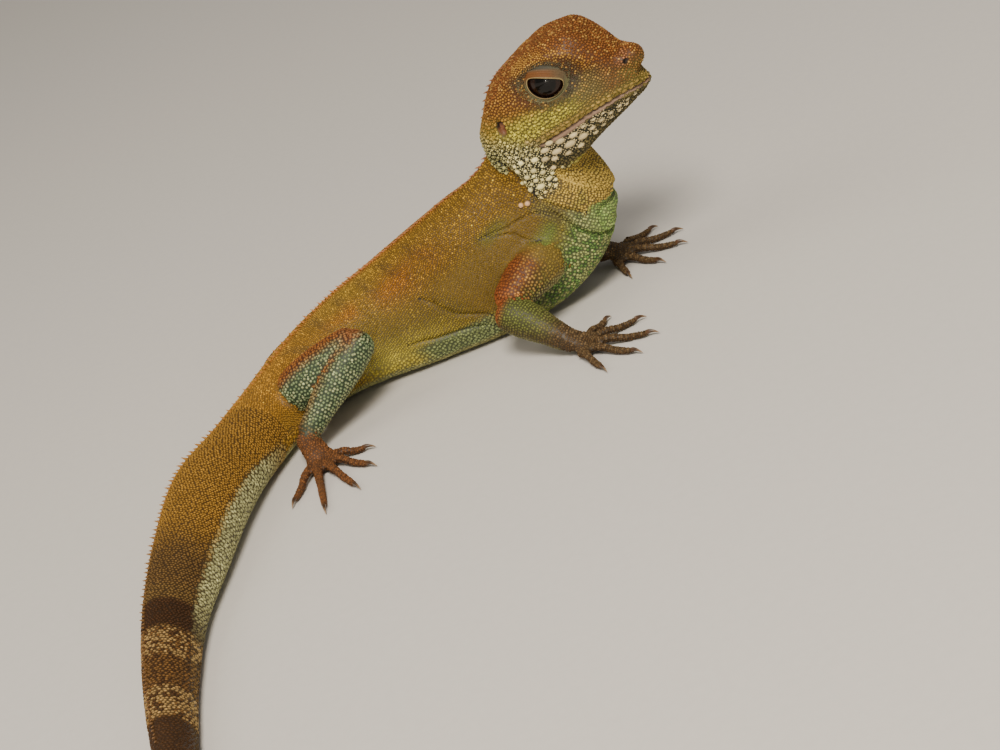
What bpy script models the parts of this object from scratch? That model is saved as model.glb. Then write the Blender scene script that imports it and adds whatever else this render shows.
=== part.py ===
"""A Chinese water dragon, a green long-tailed lizard, life size and still.

It lies on a flat floor with its head raised and its tail laid in a curve.
X runs forward along the trunk, the right side of the body faces minus Y and
Z is up. The sizes below are in millimetres, in a frame of the body. An empty
carries all pieces, so that the point where the belly rests is the origin.
"""

import math

import bmesh
import bpy
import numpy as np
from mathutils import Vector
from mathutils.bvhtree import BVHTree

MM = 0.001
JOINT_GAP = 0.3
# A grown copy is moved out by this share of the gap, since its flat faces lie inside its corners.
GROWN_SHARE = 1.15
# How far the flats of the tail are sunk into the floor before they are cut level.
FLOOR_SINK = 0.35
FULL_SINK_HEIGHT = 3.0
BELLY_REST = (2.0, -7.0, 0.0)
# In metres: points nearer than this to each other are made one.
WELD_WITHIN = 2e-6
# Half a step along a line, over which its direction is read.
HALF_STEP = 0.05
SHARP_FROM = math.radians(50)

# Colours and finish of each kind of piece: red, green, blue and roughness.
SKIN_OLIVE = (0.33, 0.25, 0.06, 0.55)
SKIN_GREEN = (0.18, 0.33, 0.16, 0.55)
SKIN_BROWN = (0.20, 0.09, 0.04, 0.60)
SKIN_HEAD = (0.30, 0.17, 0.06, 0.55)
SKIN_TAIL = (0.22, 0.13, 0.06, 0.60)
JAW_PALE = (0.55, 0.50, 0.36, 0.50)
EYE_DARK = (0.02, 0.012, 0.01, 0.08)
EAR_DARK = (0.12, 0.05, 0.03, 0.50)

# Trunk and neck. Each row is one cross section: the point on the back, the
# point on the belly, the half width, and how far up the section is widest.
NECK_SECTIONS = (
    (53.0, -14.5, 48.5, 61.0, -18.7, 35.0, 5.6, 0.50),
    (48.8, -11.5, 46.5, 61.6, -18.5, 29.5, 7.4, 0.50),
    (45.6, -11.2, 42.0, 64.8, -17.8, 24.2, 8.4, 0.50),
    (42.6, -11.0, 37.6, 64.6, -16.9, 19.0, 9.2, 0.48),
    (37.6, -11.0, 34.4, 62.0, -15.4, 13.0, 9.9, 0.46),
)
TRUNK_SECTIONS = (
    (30.2, -10.5, 32.2, 57.2, -13.8, 7.6, 10.7, 0.44),
    (23.2, -9.6, 29.7, 49.6, -12.4, 3.2, 11.5, 0.43),
    (16.2, -8.0, 26.9, 37.0, -10.4, 0.2, 12.0, 0.41),
    (8.4, -6.2, 23.8, 21.0, -8.4, -0.6, 12.4, 0.39),
    (0.0, -5.0, 20.9, 4.5, -7.2, -0.6, 12.2, 0.39),
    (-8.0, -6.0, 18.1, -7.0, -9.0, -0.6, 11.2, 0.40),
    (-15.8, -10.4, 15.8, -14.4, -13.6, -0.6, 9.9, 0.42),
    (-23.0, -18.0, 14.4, -20.8, -21.0, -0.5, 8.8, 0.45),
)

# How much fuller than an oval the lower corners of the body are.
BELLY_SQUARE = 0.12

# Tail: its centre line on the floor, from the pelvis to the tip, and how its
# height, width and lean change along that line.
TAIL_LINE = (
    (-29.0, -31.0),
    (-37.0, -46.5),
    (-43.6, -67.0),
    (-48.4, -85.0),
    (-50.6, -104.0),
    (-51.2, -124.0),
    (-50.0, -146.0),
    (-45.0, -168.0),
    (-35.0, -190.0),
    (-19.0, -211.0),
    (2.0, -229.0),
    (27.0, -243.0),
    (55.0, -252.0),
    (83.0, -256.0),
)
TAIL_AT = (0.0, 18.0, 39.0, 58.0, 77.0, 97.0, 140.0, 190.0, 240.0, 292.0)
TAIL_HEIGHT = (15.2, 17.0, 15.4, 12.4, 10.6, 8.9, 6.6, 4.7, 3.1, 1.25)
TAIL_WIDTH = (15.6, 14.6, 12.2, 9.8, 8.3, 7.0, 5.3, 3.9, 2.7, 1.15)
TAIL_LEAN = (14.0, 30.0, 38.0, 36.0, 30.0, 24.0, 12.0, 5.0, 0.0, 0.0)
TAIL_CUTS = (22.0, 62.0, 112.0, 176.0, 238.0)

# Where the neck ends behind its last section, and the tail begins before its first.
NECK_RUNS_ON = 2.0
TAIL_STARTS_BEFORE = 4.0

# Where the trunk is parted into chest, belly and pelvis: rows of the sections above.
CHEST_END_ROW = len(NECK_SECTIONS) + 2
BELLY_END_ROW = len(NECK_SECTIONS) + 5
RING_SPACING = 5.0
TAIL_RING_SPACING = 8.0
LEAST_RINGS = 5
NECK_RINGS = 12
TRUNK_RINGS = 34

# Head, in its own frame: b runs back from the tip of the snout along the
# mouth, v to the side and w up.
SNOUT_TIP = (79.4, -26.5, 44.5)
HEAD_YAW = 26.0
HEAD_PITCH = 4.0
HEAD_ROLL = 5.0
HEAD_FRONT = (-0.25, 0.0, 1.2)
HEAD_REAR = (39.6, 0.0, -4.6)
HEAD_RINGS = (0.5, 1.4, 2.6, *np.arange(4.2, 37.0, 2.3), 38.0, 39.0)
HEAD_AT = (0.5, 3.0, 6.0, 9.5, 14.0, 18.5, 23.0, 28.0, 33.0, 37.0, 39.0)
CROWN = (4.8, 9.0, 13.2, 16.8, 17.3, 16.9, 15.0, 12.9, 9.9, 4.4, 1.4)
CROWN_SIDE = (
    (1.3, 4.6), (2.3, 8.7), (3.7, 12.9), (4.6, 16.4), (4.8, 17.0), (4.7, 16.6),
    (4.7, 14.7), (4.8, 12.5), (4.3, 9.4), (3.4, 4.0), (2.2, 1.2),
)
BROW = (
    (2.4, 3.6), (3.6, 7.0), (5.5, 10.2), (6.9, 13.0), (7.4, 14.9), (7.7, 15.1),
    (7.6, 13.8), (7.6, 11.5), (7.2, 8.1), (5.8, 3.3), (3.6, 0.4),
)
ORBIT = (
    (2.8, 2.5), (3.8, 4.4), (4.9, 5.9), (6.1, 7.2), (7.3, 9.4), (8.2, 10.0),
    (8.6, 9.6), (8.9, 8.0), (8.5, 5.2), (7.0, 1.6), (4.3, -1.2),
)
CHEEK = (
    (2.8, 1.6), (3.9, 2.6), (5.1, 3.1), (6.6, 3.6), (8.1, 4.0), (9.2, 3.8),
    (9.8, 2.8), (10.2, 1.2), (9.9, -0.8), (8.5, -3.2), (5.6, -4.4),
)
UPPER_LIP = (
    (2.5, 0.7), (3.7, 1.0), (5.1, 1.2), (6.6, 1.0), (8.1, 0.6), (9.2, -0.3),
    (9.9, -1.5), (10.4, -3.4), (10.1, -5.2), (8.8, -6.8), (6.0, -7.2),
)
LOWER_LIP = (
    (2.2, -0.6), (3.3, -0.7), (4.7, -0.9), (6.2, -1.3), (7.8, -1.9), (9.0, -3.0),
    (9.8, -4.6), (10.2, -7.2), (9.6, -9.4), (8.2, -10.2), (5.4, -9.8),
)
JAW_EDGE = (
    (1.2, -1.5), (2.0, -2.3), (3.3, -3.4), (4.6, -4.6), (6.1, -6.3), (7.2, -8.4),
    (8.0, -10.6), (7.8, -12.6), (7.0, -13.3), (5.4, -12.8), (3.6, -11.6),
)
CHIN = (-1.7, -2.7, -4.0, -5.4, -7.2, -9.6, -12.0, -13.7, -14.1, -13.2, -12.0)
MOUTH_LINE = ((-3.0, 0.0), (5.7, 0.3), (12.4, -0.1), (18.2, -1.1), (25.0, -2.3))
MOUTH_CORNER_TO_THROAT = ((27.5, -9.0), (27.0, -20.0))
MOUTH_STEPS = 9

EYE_AT = (18.2, 4.3, 9.8)
EYE_RADIUS = 5.0
EYE_BACK = 1.2
LID_THICKNESS = 0.7
LID_LENGTH = 8.2
LID_OPENING = 4.6
LID_ABOVE = 0.36
LID_TILT = 17.0
NOSTRIL_AT = (3.7, 3.7, 6.2)
NOSTRIL_RADIUS = 0.45
NOSTRIL_FLARE = (0.6, 1.0, 1.8)
NOSTRIL_SIDES = 8
NOSTRIL_WAY = (0.8, 2.0, 0.6)
EAR_AT = (30.8, 8.6, 3.9)
EAR_HEIGHT = 3.0
EAR_WIDTH = 1.9
EAR_TILT = 70.0
EAR_DEPTH = 0.6
DRUM_THICKNESS = 0.6
# How far to the side the cutters of the eyes and ears reach, and how many sides they have.
CUTTER_REACH = 14.0
CUTTER_SIDES = 12

# Limbs: the joints from the body outwards, and the radius at each station.
RIGHT_SHOULDER = (47.5, -19.5, 15.5)
RIGHT_ELBOW = (32.5, -30.0, 11.4)
RIGHT_WRIST = (42.0, -39.0, 3.6)
LEFT_SHOULDER = (48.0, -3.5, 14.5)
LEFT_ELBOW = (44.5, 8.0, 7.6)
LEFT_WRIST = (58.0, -3.5, 3.8)
RIGHT_HIP = (-17.5, -22.5, 9.5)
RIGHT_KNEE = (3.0, -25.5, 17.2)
RIGHT_ANKLE = (-16.0, -33.5, 5.0)
LEFT_HIP = (-20.0, -7.0, 7.6)
LEFT_KNEE = (-1.5, 9.0, 8.6)
LEFT_ANKLE = (-8.5, 25.0, 4.4)
UPPER_ARM_RADII = (5.2, 5.6, 5.1, 4.3, 3.7)
FOREARM_RADII = (3.6, 4.2, 4.0, 3.3, 2.8)
THIGH_RADII = (4.8, 5.4, 5.2, 4.7, 4.0)
SHANK_RADII = (3.5, 4.2, 3.9, 3.1, 2.6)

# Hands and feet: the heading of the palm or sole in degrees from X, its
# length, and for each digit its angle from that heading and its length.
PALM_LENGTH = 5.0
PALM_WIDTH = 6.4
SOLE_LENGTH = 9.0
SOLE_WIDTH = 6.0
DIGIT_RADIUS = 1.0
CLAW_LENGTH = 2.6
RIGHT_HAND = (-28.0, ((74.0, 7.5), (34.0, 11.0), (3.0, 13.0), (-20.0, 12.5), (-48.0, 9.5)))
LEFT_HAND = (-18.0, ((-66.0, 7.5), (-34.0, 11.0), (-8.0, 13.0), (16.0, 12.5), (44.0, 9.5)))
RIGHT_FOOT = (-78.0, ((62.0, 7.0), (30.0, 11.5), (8.0, 15.0), (-14.0, 18.0), (-38.0, 11.0)))
LEFT_FOOT = (38.0, ((-66.0, 7.0), (-34.0, 11.5), (-10.0, 15.0), (12.0, 18.0), (44.0, 11.0)))

# A round end has extra rings at these shares of its reach, and its last ring is not a point.
ROUND_RINGS = (0.15, 0.5)
ROUND_TIP = 0.03

# How the joints of a limb are rounded: how far each round end reaches, how far the
# lower piece starts before the joint, and how much the muscle rises between joints.
UPPER_ROUND = (3.0, 3.2)
LOWER_ROUND = 2.4
JOINT_OVERLAP = 1.2
WRIST_CLEARANCE = 0.09
UPPER_RISE = 0.4
LOWER_RISE = 0.3

# Palm: its half widths and flatness from the wrist on. Digit: the share of its
# radius at each station out to the point of the claw.
PALM_HALF_WIDTHS = (0.46, 0.50, 0.42)
PALM_FLATS = (1.0, 0.62, 0.46, 0.36)
PALM_HEIGHT = 1.35
PALM_END = 0.8
# Digits start inside the palm: this far from its edge, and this far back, more for the outer ones.
ROOT_INSET = 0.6
ROOT_BACK = (1.2, 0.5)
DIGIT_ROOT_HEIGHT = 1.3
KNUCKLE_RISE = 0.75
PAD_SINK = 0.12
CLAW_TIP_HEIGHT = 0.16
DIGIT_TAPER = (1.15, 1.1, 1.0, 0.95, 0.95, 0.9, 0.55, 0.42, 0.14)

BODY_COLUMNS = 22
TAIL_COLUMNS = 14
LIMB_COLUMNS = 10
LIMB_RINGS = 8
DIGIT_COLUMNS = 6
HEAD_COLUMNS = 28

# Crest: distances along the body from the top of the neck, and the spacing
# and height of the spines there. They end part of the way down the tail.
CREST_AT = (0.0, 20.0, 45.0, 80.0, 105.0, 160.0, 225.0)
CREST_SPACING = (2.0, 2.0, 2.2, 2.6, 2.8, 3.0, 3.4)
CREST_HEIGHT = (1.6, 1.5, 0.95, 1.1, 1.25, 1.1, 0.6)
SPINE_THICKNESS = 0.75
SPINE_SHARE = 0.5
SPINE_LEAN = 0.7
SPINE_ROOT = 0.55
# Part of the way up, at this share of the height, a spine has this share of its width.
SPINE_WAIST = (0.4, 0.8)
NAPE_SPINES_AT = (29.5, 31.7, 33.9)
NECK_CREST_START = 6.5
CREST_END = 215.0
CREST_SEED = 5
# The first spine of a piece stands this far behind its front end and the last one
# this far before its rear end. Height, lean and spacing each vary by their share.
CREST_INSET = (1.0, 1.6)
HEIGHT_VARIES = 0.15
LEAN_VARIES = 0.2
SPACING_VARIES = 0.08
NAPE_SPINE = (1.1, 1.2)

# Rows of scutes on the lower jaw: for the rear and the front one of each row
# the place in b and w, the length and the height, then how many there are.
JAW_ROWS = (
    ((21.6, -3.4, 2.4, 1.4), (7.2, -1.6, 1.8, 0.9), 6),
    ((23.4, -5.5, 2.8, 1.6), (10.0, -3.6, 2.0, 1.0), 5),
    ((24.0, -7.8, 2.0, 1.3), (17.0, -7.0, 1.6, 1.0), 3),
)
# Rows of round scutes on the jowl behind the mouth, in the same way.
JOWL_ROWS = (
    ((34.6, -1.6, 1.5, 1.3), (28.9, -2.8, 1.5, 1.3), 3),
    ((34.8, -4.8, 1.6, 1.4), (29.2, -6.2, 1.7, 1.5), 3),
    ((33.6, -8.0, 1.6, 1.5), (29.4, -9.4, 1.6, 1.5), 2),
)
SCUTE_LIFT = 0.45
SCUTE_ROOT = 0.6
SCUTE_SIDES = 6
SCUTE_TOP = 0.72
# Rays that look for the surface of the head start this far from its middle.
OUTSIDE_HEAD = 30.0


def smooth_rows(knots, rows, places):
    """The smooth curve through rows of numbers at uneven knots, read at places."""
    knots = np.asarray(knots, float)
    rows = np.asarray(rows, float).reshape(len(knots), -1)
    places = np.asarray(places, float)
    steps = np.diff(knots)[:, None]
    slopes = np.diff(rows, axis=0) / steps
    tangents = np.empty_like(rows)
    tangents[0] = slopes[0]
    tangents[-1] = slopes[-1]
    tangents[1:-1] = (slopes[:-1] * steps[1:] + slopes[1:] * steps[:-1]) / (steps[:-1] + steps[1:])
    index = np.clip(np.searchsorted(knots, places, side="right") - 1, 0, len(knots) - 2)
    width = steps[index]
    t = (places - knots[index])[:, None] / width
    start = (2 * t**3 - 3 * t**2 + 1) * rows[index] + (t**3 - 2 * t**2 + t) * width * tangents[index]
    end = (3 * t**2 - 2 * t**3) * rows[index + 1] + (t**3 - t**2) * width * tangents[index + 1]
    return start + end


def lengths_along(points):
    """Distance from the first point to each point of a line."""
    points = np.asarray(points, float)
    return np.concatenate([[0.0], np.cumsum(np.linalg.norm(np.diff(points, axis=0), axis=1))])


def unit(vectors):
    return vectors / np.linalg.norm(vectors, axis=-1, keepdims=True)


class Form:
    """A smooth body part through rows of back point, belly point, half width and widest height."""

    def __init__(self, rows):
        self.rows = np.asarray(rows, float)
        self.knots = lengths_along((self.rows[:, 0:3] + self.rows[:, 3:6]) / 2)
        self.length = self.knots[-1]

    def sections(self, places):
        """Centre, up and side directions, and upper, lower and side half sizes at places along it."""
        places = np.asarray(places, float)
        values = smooth_rows(self.knots, self.rows, places)
        ahead = smooth_rows(self.knots, self.rows, places + HALF_STEP)
        behind = smooth_rows(self.knots, self.rows, places - HALF_STEP)
        back, belly = values[:, 0:3], values[:, 3:6]
        middle_step = (ahead[:, 0:6] - behind[:, 0:6]).reshape(-1, 2, 3).sum(axis=1)
        up = unit(back - belly)
        side = unit(np.cross(up, middle_step))
        height = np.linalg.norm(back - belly, axis=1)
        widest = values[:, 7]
        centre = belly + widest[:, None] * (back - belly)
        return centre, up, side, height * (1 - widest), height * widest, values[:, 6]

    def rings(self, places, columns):
        """Points round the form at each place, from the back line round by the right side."""
        centre, up, side, upper, lower, half = self.sections(places)
        angles = np.linspace(0, 2 * math.pi, columns, endpoint=False)
        across = np.sin(angles)[None, :] * half[:, None]
        along = np.cos(angles)
        height = np.where(along > 0, upper[:, None] * along, lower[:, None] * along)
        squarer = 1 + BELLY_SQUARE * np.sin(2 * angles) ** 2 * (along < 0)
        height = height * squarer[None, :]
        across = across * squarer[None, :]
        points = centre[:, None, :] + across[..., None] * side[:, None, :]
        points = points + height[..., None] * up[:, None, :]
        points[..., 2] = np.maximum(points[..., 2], 0.0)
        return points


def tail_rows():
    """Cross sections of the tail, each resting on the floor with its lean."""
    line = np.array([(x, y, 0.0) for x, y in TAIL_LINE])
    along = lengths_along(line)
    scale = TAIL_AT[-1] / along[-1]
    rows = []
    for index, place in enumerate(along):
        ahead = line[min(index + 1, len(line) - 1)] - line[max(index - 1, 0)]
        heading = unit(ahead)
        right = np.cross((0.0, 0.0, 1.0), heading)
        at = [place * scale]
        height = smooth_rows(TAIL_AT, TAIL_HEIGHT, at)[0, 0] / 2
        half = smooth_rows(TAIL_AT, TAIL_WIDTH, at)[0, 0] / 2
        lean = math.radians(smooth_rows(TAIL_AT, TAIL_LEAN, at)[0, 0])
        up = np.array((0.0, 0.0, math.cos(lean))) - right * math.sin(lean)
        reach_down = math.hypot(height * math.cos(lean), half * math.sin(lean))
        rest = reach_down - FLOOR_SINK * min(1.0, height / FULL_SINK_HEIGHT)
        centre = line[index] + np.array((0.0, 0.0, rest))
        rows.append((*(centre + up * height), *(centre - up * height), half, 0.5))
    return rows


def grid_object(name, rings, start_point=None, end_point=None):
    """A closed object through rings of points in millimetres, with a fan on each end."""
    mesh = bpy.data.meshes.new(name)
    maker = bmesh.new()
    rows = [[maker.verts.new(point * MM) for point in ring] for ring in rings]
    columns = len(rows[0])
    for first, second in zip(rows, rows[1:]):
        for column in range(columns):
            beside = (column + 1) % columns
            maker.faces.new((first[column], first[beside], second[beside], second[column]))
    for ring, own, flip in ((rows[0], start_point, True), (rows[-1], end_point, False)):
        middle = np.mean([vert.co for vert in ring], axis=0) if own is None else np.asarray(own) * MM
        hub = maker.verts.new(middle)
        for column in range(columns):
            pair = (ring[column], ring[(column + 1) % columns])
            maker.faces.new((*(reversed(pair) if flip else pair), hub))
    bmesh.ops.triangulate(maker, faces=maker.faces[:])
    maker.normal_update()
    bmesh.ops.recalc_face_normals(maker, faces=maker.faces[:])
    maker.to_mesh(mesh)
    maker.free()
    return bpy.data.objects.new(name, mesh)


def body_piece(name, form, start, end, rings, columns):
    """The part of a form between two places, closed with flat ends."""
    return grid_object(name, form.rings(np.linspace(start, end, rings), columns))


def roundness(share):
    """The share of the radius left on a round end, from its very end at 0 to where it starts at 1."""
    return np.sqrt(np.clip(1 - (1 - ROUND_TIP) * (1 - share).clip(0) ** 2, ROUND_TIP, 1))


def tube(name, points, radii, rings, columns, flat=1.0, round_start=0.0, round_end=0.0):
    """A round limb piece along a smooth line. A round end shrinks over the length given."""
    points = np.asarray(points, float)
    knots = lengths_along(points)
    radii_knots = np.linspace(0, knots[-1], len(radii))
    places = np.linspace(0, knots[-1], rings)
    if round_start:
        places = np.union1d(places, [share * round_start for share in ROUND_RINGS])
    if round_end:
        places = np.union1d(places, [knots[-1] - share * round_end for share in ROUND_RINGS])
    centres = smooth_rows(knots, points, places)
    step = smooth_rows(knots, points, places + HALF_STEP) - smooth_rows(knots, points, places - HALF_STEP)
    headings = unit(step)
    radius = smooth_rows(radii_knots, radii, places)[:, 0]
    if round_start:
        radius = radius * roundness(places / round_start)
    if round_end:
        radius = radius * roundness((knots[-1] - places) / round_end)
    flat = np.atleast_1d(flat)
    flats = np.interp(places, np.linspace(0, knots[-1], len(flat)), flat)
    side = unit(np.cross((0.0, 0.0, 1.0), headings))
    up = np.cross(headings, side)
    angles = np.linspace(0, 2 * math.pi, columns, endpoint=False)
    across = np.sin(angles)[None, :] * radius[:, None]
    height = np.cos(angles)[None, :] * (radius * flats)[:, None]
    ring_points = centres[:, None] + across[..., None] * side[:, None]
    ring_points = ring_points + height[..., None] * up[:, None]
    ring_points[..., 2] = np.maximum(ring_points[..., 2], 0.0)
    return grid_object(name, ring_points)


def spine(name, root, along, up, length, height, lean):
    """A small thin blade with a point that leans back, its root sunk below the skin."""
    side = np.cross(up, along)
    corners = ((1.0, 0.0), (0.0, 1.0), (-1.0, 0.0), (0.0, -1.0))
    rings = []
    for level, size in ((-SPINE_ROOT, 1.0), (SPINE_WAIST[0] * height, SPINE_WAIST[1])):
        middle = root + level * up + max(level, 0.0) * lean * along
        reach = [size * (a * length * along + b * SPINE_THICKNESS * side) / 2 for a, b in corners]
        rings.append([middle + way for way in reach])
    tip = root + height * up + height * lean * along
    return grid_object(name, np.array(rings), end_point=tip)


def crest(name, form, start, end, chance):
    """Spines along the back of a form between two places."""
    spines = []
    place = start + CREST_INSET[0]
    while place < end - CREST_INSET[1]:
        spacing, height = smooth_rows(CREST_AT, list(zip(CREST_SPACING, CREST_HEIGHT)), [place])[0]
        centre, up, _, upper, _, _ = form.sections([place, place + 4 * HALF_STEP])
        back = centre + up * upper[:, None]
        along = unit(back[1] - back[0])
        size = height * chance.uniform(1 - HEIGHT_VARIES, 1 + HEIGHT_VARIES)
        lean = SPINE_LEAN * chance.uniform(1 - LEAN_VARIES, 1 + LEAN_VARIES)
        spines.append(spine(f"{name} spine", back[0], along, up[0], spacing * SPINE_SHARE, size, lean))
        place += spacing * chance.uniform(1 - SPACING_VARIES, 1 + SPACING_VARIES)
    return spines


def put(obj, collection):
    collection.objects.link(obj)
    return obj


def apply_boolean(obj, others, operation):
    """Cuts or joins in place and removes the other objects."""
    group = bpy.data.collections.new("cutters of " + obj.name)
    bpy.context.scene.collection.children.link(group)
    group.objects.link(obj)
    inner = bpy.data.collections.new("tools of " + obj.name)
    group.children.link(inner)
    for other in others:
        inner.objects.link(other)
    step = obj.modifiers.new("step", "BOOLEAN")
    step.operation = operation
    step.operand_type = "COLLECTION"
    step.collection = inner
    step.solver = "EXACT"
    graph = bpy.context.evaluated_depsgraph_get()
    made = bpy.data.meshes.new_from_object(obj.evaluated_get(graph), depsgraph=graph)
    obj.modifiers.remove(step)
    old = obj.data
    obj.data = made
    bpy.data.meshes.remove(old)
    for other in others:
        shape = other.data
        bpy.data.objects.remove(other)
        bpy.data.meshes.remove(shape)
    group.objects.unlink(obj)
    bpy.data.collections.remove(inner)
    bpy.data.collections.remove(group)
    keep_largest(obj)
    return obj


def keep_largest(obj):
    """Welds points that all but meet and keeps the closed surface with the most volume."""
    maker = bmesh.new()
    maker.from_mesh(obj.data)
    bmesh.ops.remove_doubles(maker, verts=maker.verts[:], dist=WELD_WITHIN)
    bmesh.ops.triangulate(maker, faces=maker.faces[:])
    unseen = set(maker.verts)
    best, best_volume = set(), -1.0
    while unseen:
        stack = [unseen.pop()]
        island = set(stack)
        while stack:
            for edge in stack.pop().link_edges:
                for vert in edge.verts:
                    if vert in unseen:
                        unseen.discard(vert)
                        island.add(vert)
                        stack.append(vert)
        faces = {face for vert in island for face in vert.link_faces}
        volume = sum(f.verts[0].co.dot(f.verts[1].co.cross(f.verts[2].co)) for f in faces)
        if volume > best_volume:
            best, best_volume = island, volume
    bmesh.ops.delete(maker, geom=[vert for vert in maker.verts if vert not in best], context="VERTS")
    maker.to_mesh(obj.data)
    maker.free()


def grown(obj, distance=JOINT_GAP):
    """A copy of a closed object moved out along its normals, to cut a neighbour clear of it."""
    maker = bmesh.new()
    maker.from_mesh(obj.data)
    maker.normal_update()
    moves = [vert.normal * distance * MM * GROWN_SHARE for vert in maker.verts]
    for vert, move in zip(maker.verts, moves):
        vert.co += move
    mesh = bpy.data.meshes.new(obj.name + " clearance")
    maker.to_mesh(mesh)
    maker.free()
    return bpy.data.objects.new(obj.name + " clearance", mesh)


def head_axes():
    """The head's back, left and up directions in the frame of the body."""
    yaw, pitch, roll = math.radians(HEAD_YAW), math.radians(HEAD_PITCH), math.radians(HEAD_ROLL)
    level = np.array((math.cos(yaw), -math.sin(yaw), 0.0))
    forward = math.cos(pitch) * level + np.array((0.0, 0.0, math.sin(pitch)))
    upright = -math.sin(pitch) * level + np.array((0.0, 0.0, math.cos(pitch)))
    across = np.array((math.sin(yaw), math.cos(yaw), 0.0))
    left = math.cos(roll) * across + math.sin(roll) * upright
    up = math.cos(roll) * upright - math.sin(roll) * across
    return -forward, left, up


def head_point(b, v, w):
    back, left, up = head_axes()
    return np.array(SNOUT_TIP) + b * back + v * left + w * up


def head_rings(places, columns):
    """Points round the head at each distance behind the snout, from the crown round by the right side."""
    lines = (CROWN_SIDE, BROW, ORBIT, CHEEK, UPPER_LIP, LOWER_LIP, JAW_EDGE)
    crown = smooth_rows(HEAD_AT, CROWN, places)[:, 0]
    chin = smooth_rows(HEAD_AT, CHIN, places)[:, 0]
    half = [smooth_rows(HEAD_AT, line, places) for line in lines]
    rings = []
    for row, place in enumerate(places):
        right = [(0.0, crown[row])] + [(-line[row, 0], line[row, 1]) for line in half] + [(0.0, chin[row])]
        left = [(-v, w) for v, w in reversed(right[1:-1])]
        loop = np.array(right + left + right[:1])
        wrapped = np.concatenate([loop[-4:-1], loop, loop[1:4]])
        knots = lengths_along(wrapped)
        knots = knots - knots[3]
        span = knots[len(loop) + 2]
        around = smooth_rows(knots, wrapped, np.linspace(0, span, columns, endpoint=False))
        rings.append([head_point(place, v, w) for v, w in around])
    return np.array(rings)


def head_prism(name, outline, reach=16.0):
    """A block with a side outline in the head's b and w, wide enough to cut through the head."""
    mesh = bpy.data.meshes.new(name)
    maker = bmesh.new()
    sides = [[maker.verts.new(head_point(b, v, w) * MM) for b, w in outline] for v in (-reach, reach)]
    maker.faces.new(sides[0])
    maker.faces.new(list(reversed(sides[1])))
    for index in range(len(outline)):
        beside = (index + 1) % len(outline)
        maker.faces.new((sides[0][index], sides[1][index], sides[1][beside], sides[0][beside]))
    bmesh.ops.triangulate(maker, faces=maker.faces[:])
    maker.normal_update()
    bmesh.ops.recalc_face_normals(maker, faces=maker.faces[:])
    maker.to_mesh(mesh)
    maker.free()
    return bpy.data.objects.new(name, mesh)


def jaw_outline(gap):
    """The outline under the mouth line and in front of the mouth corner, moved out by a gap."""
    front, corner = MOUTH_LINE[0][0], MOUTH_LINE[-1][0]
    along = np.linspace(front, corner, MOUTH_STEPS)
    heights = smooth_rows([b for b, _ in MOUTH_LINE], [w for _, w in MOUTH_LINE], along)[:, 0]
    top = [(b, w + gap) for b, w in zip(along, heights)]
    top[-1] = (corner + gap, top[-1][1])
    back = [(b + gap, w) for b, w in MOUTH_CORNER_TO_THROAT]
    return top + back + [(front, MOUTH_CORNER_TO_THROAT[-1][1])]


def ball(name, centre, radius, segments=18, rings=9):
    mesh = bpy.data.meshes.new(name)
    maker = bmesh.new()
    bmesh.ops.create_uvsphere(maker, u_segments=segments, v_segments=rings, radius=radius * MM)
    bmesh.ops.triangulate(maker, faces=maker.faces[:])
    back, left, up = head_axes()
    for vert in maker.verts:
        x, y, z = vert.co / MM
        vert.co = (np.asarray(centre) - x * back + z * left + y * up) * MM
    maker.normal_update()
    bmesh.ops.recalc_face_normals(maker, faces=maker.faces[:])
    maker.to_mesh(mesh)
    maker.free()
    return bpy.data.objects.new(name, mesh)


def side_drum(name, centre, side, outline, inner, outer):
    """A straight prism through the side of the head, with its outline round a centre in b and w."""
    rings = []
    for v in (inner, outer):
        rings.append([head_point(centre[0] + b, side * v, centre[2] + w) for b, w in outline])
    return grid_object(name, np.array(rings))


def surface_of(obj):
    """A search tree of an object's surface."""
    maker = bmesh.new()
    maker.from_mesh(obj.data)
    tree = BVHTree.FromBMesh(maker)
    maker.free()
    return tree


def scute_rows(rows, side, tree):
    """Low rounded scutes in rows on one side of the head, following its surface."""
    back, left, _ = head_axes()
    scutes = []
    for rear, front, count in rows:
        for share in np.linspace(0.0, 1.0, count):
            b, w, length, height = (1 - share) * np.array(rear) + share * np.array(front)
            start = head_point(b, side * OUTSIDE_HEAD, w) * MM
            hit, normal, _, _ = tree.ray_cast(Vector(start), Vector(-side * left))
            out = np.array(normal)
            along = unit(back - back.dot(out) * out)
            across = np.cross(out, along)
            rings = []
            for level, size in ((-SCUTE_ROOT, 1.0), (SCUTE_LIFT, SCUTE_TOP)):
                ring = []
                for b_way, w_way in oval(length, height, SCUTE_SIDES):
                    reach = b_way * along + w_way * across
                    ring.append(np.array(hit) / MM + level * out + size * reach)
                rings.append(ring)
            scutes.append(grid_object("scute", np.array(rings)))
    return scutes


def oval(length, height, count, tilt=0.0, upper_share=0.5):
    """Points round an oval in b and w, its long axis rising backwards by the tilt.

    The upper share is how much of the height lies above the long axis.
    """
    turn = math.radians(tilt)
    points = []
    for index in range(count):
        angle = 2 * math.pi * index / count
        share = upper_share if math.sin(angle) > 0 else 1 - upper_share
        b = length / 2 * math.cos(angle)
        w = height * share * math.sin(angle)
        b_turned = b * math.cos(turn) - w * math.sin(turn)
        w_turned = b * math.sin(turn) + w * math.cos(turn)
        points.append((b_turned, w_turned))
    return points


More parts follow.
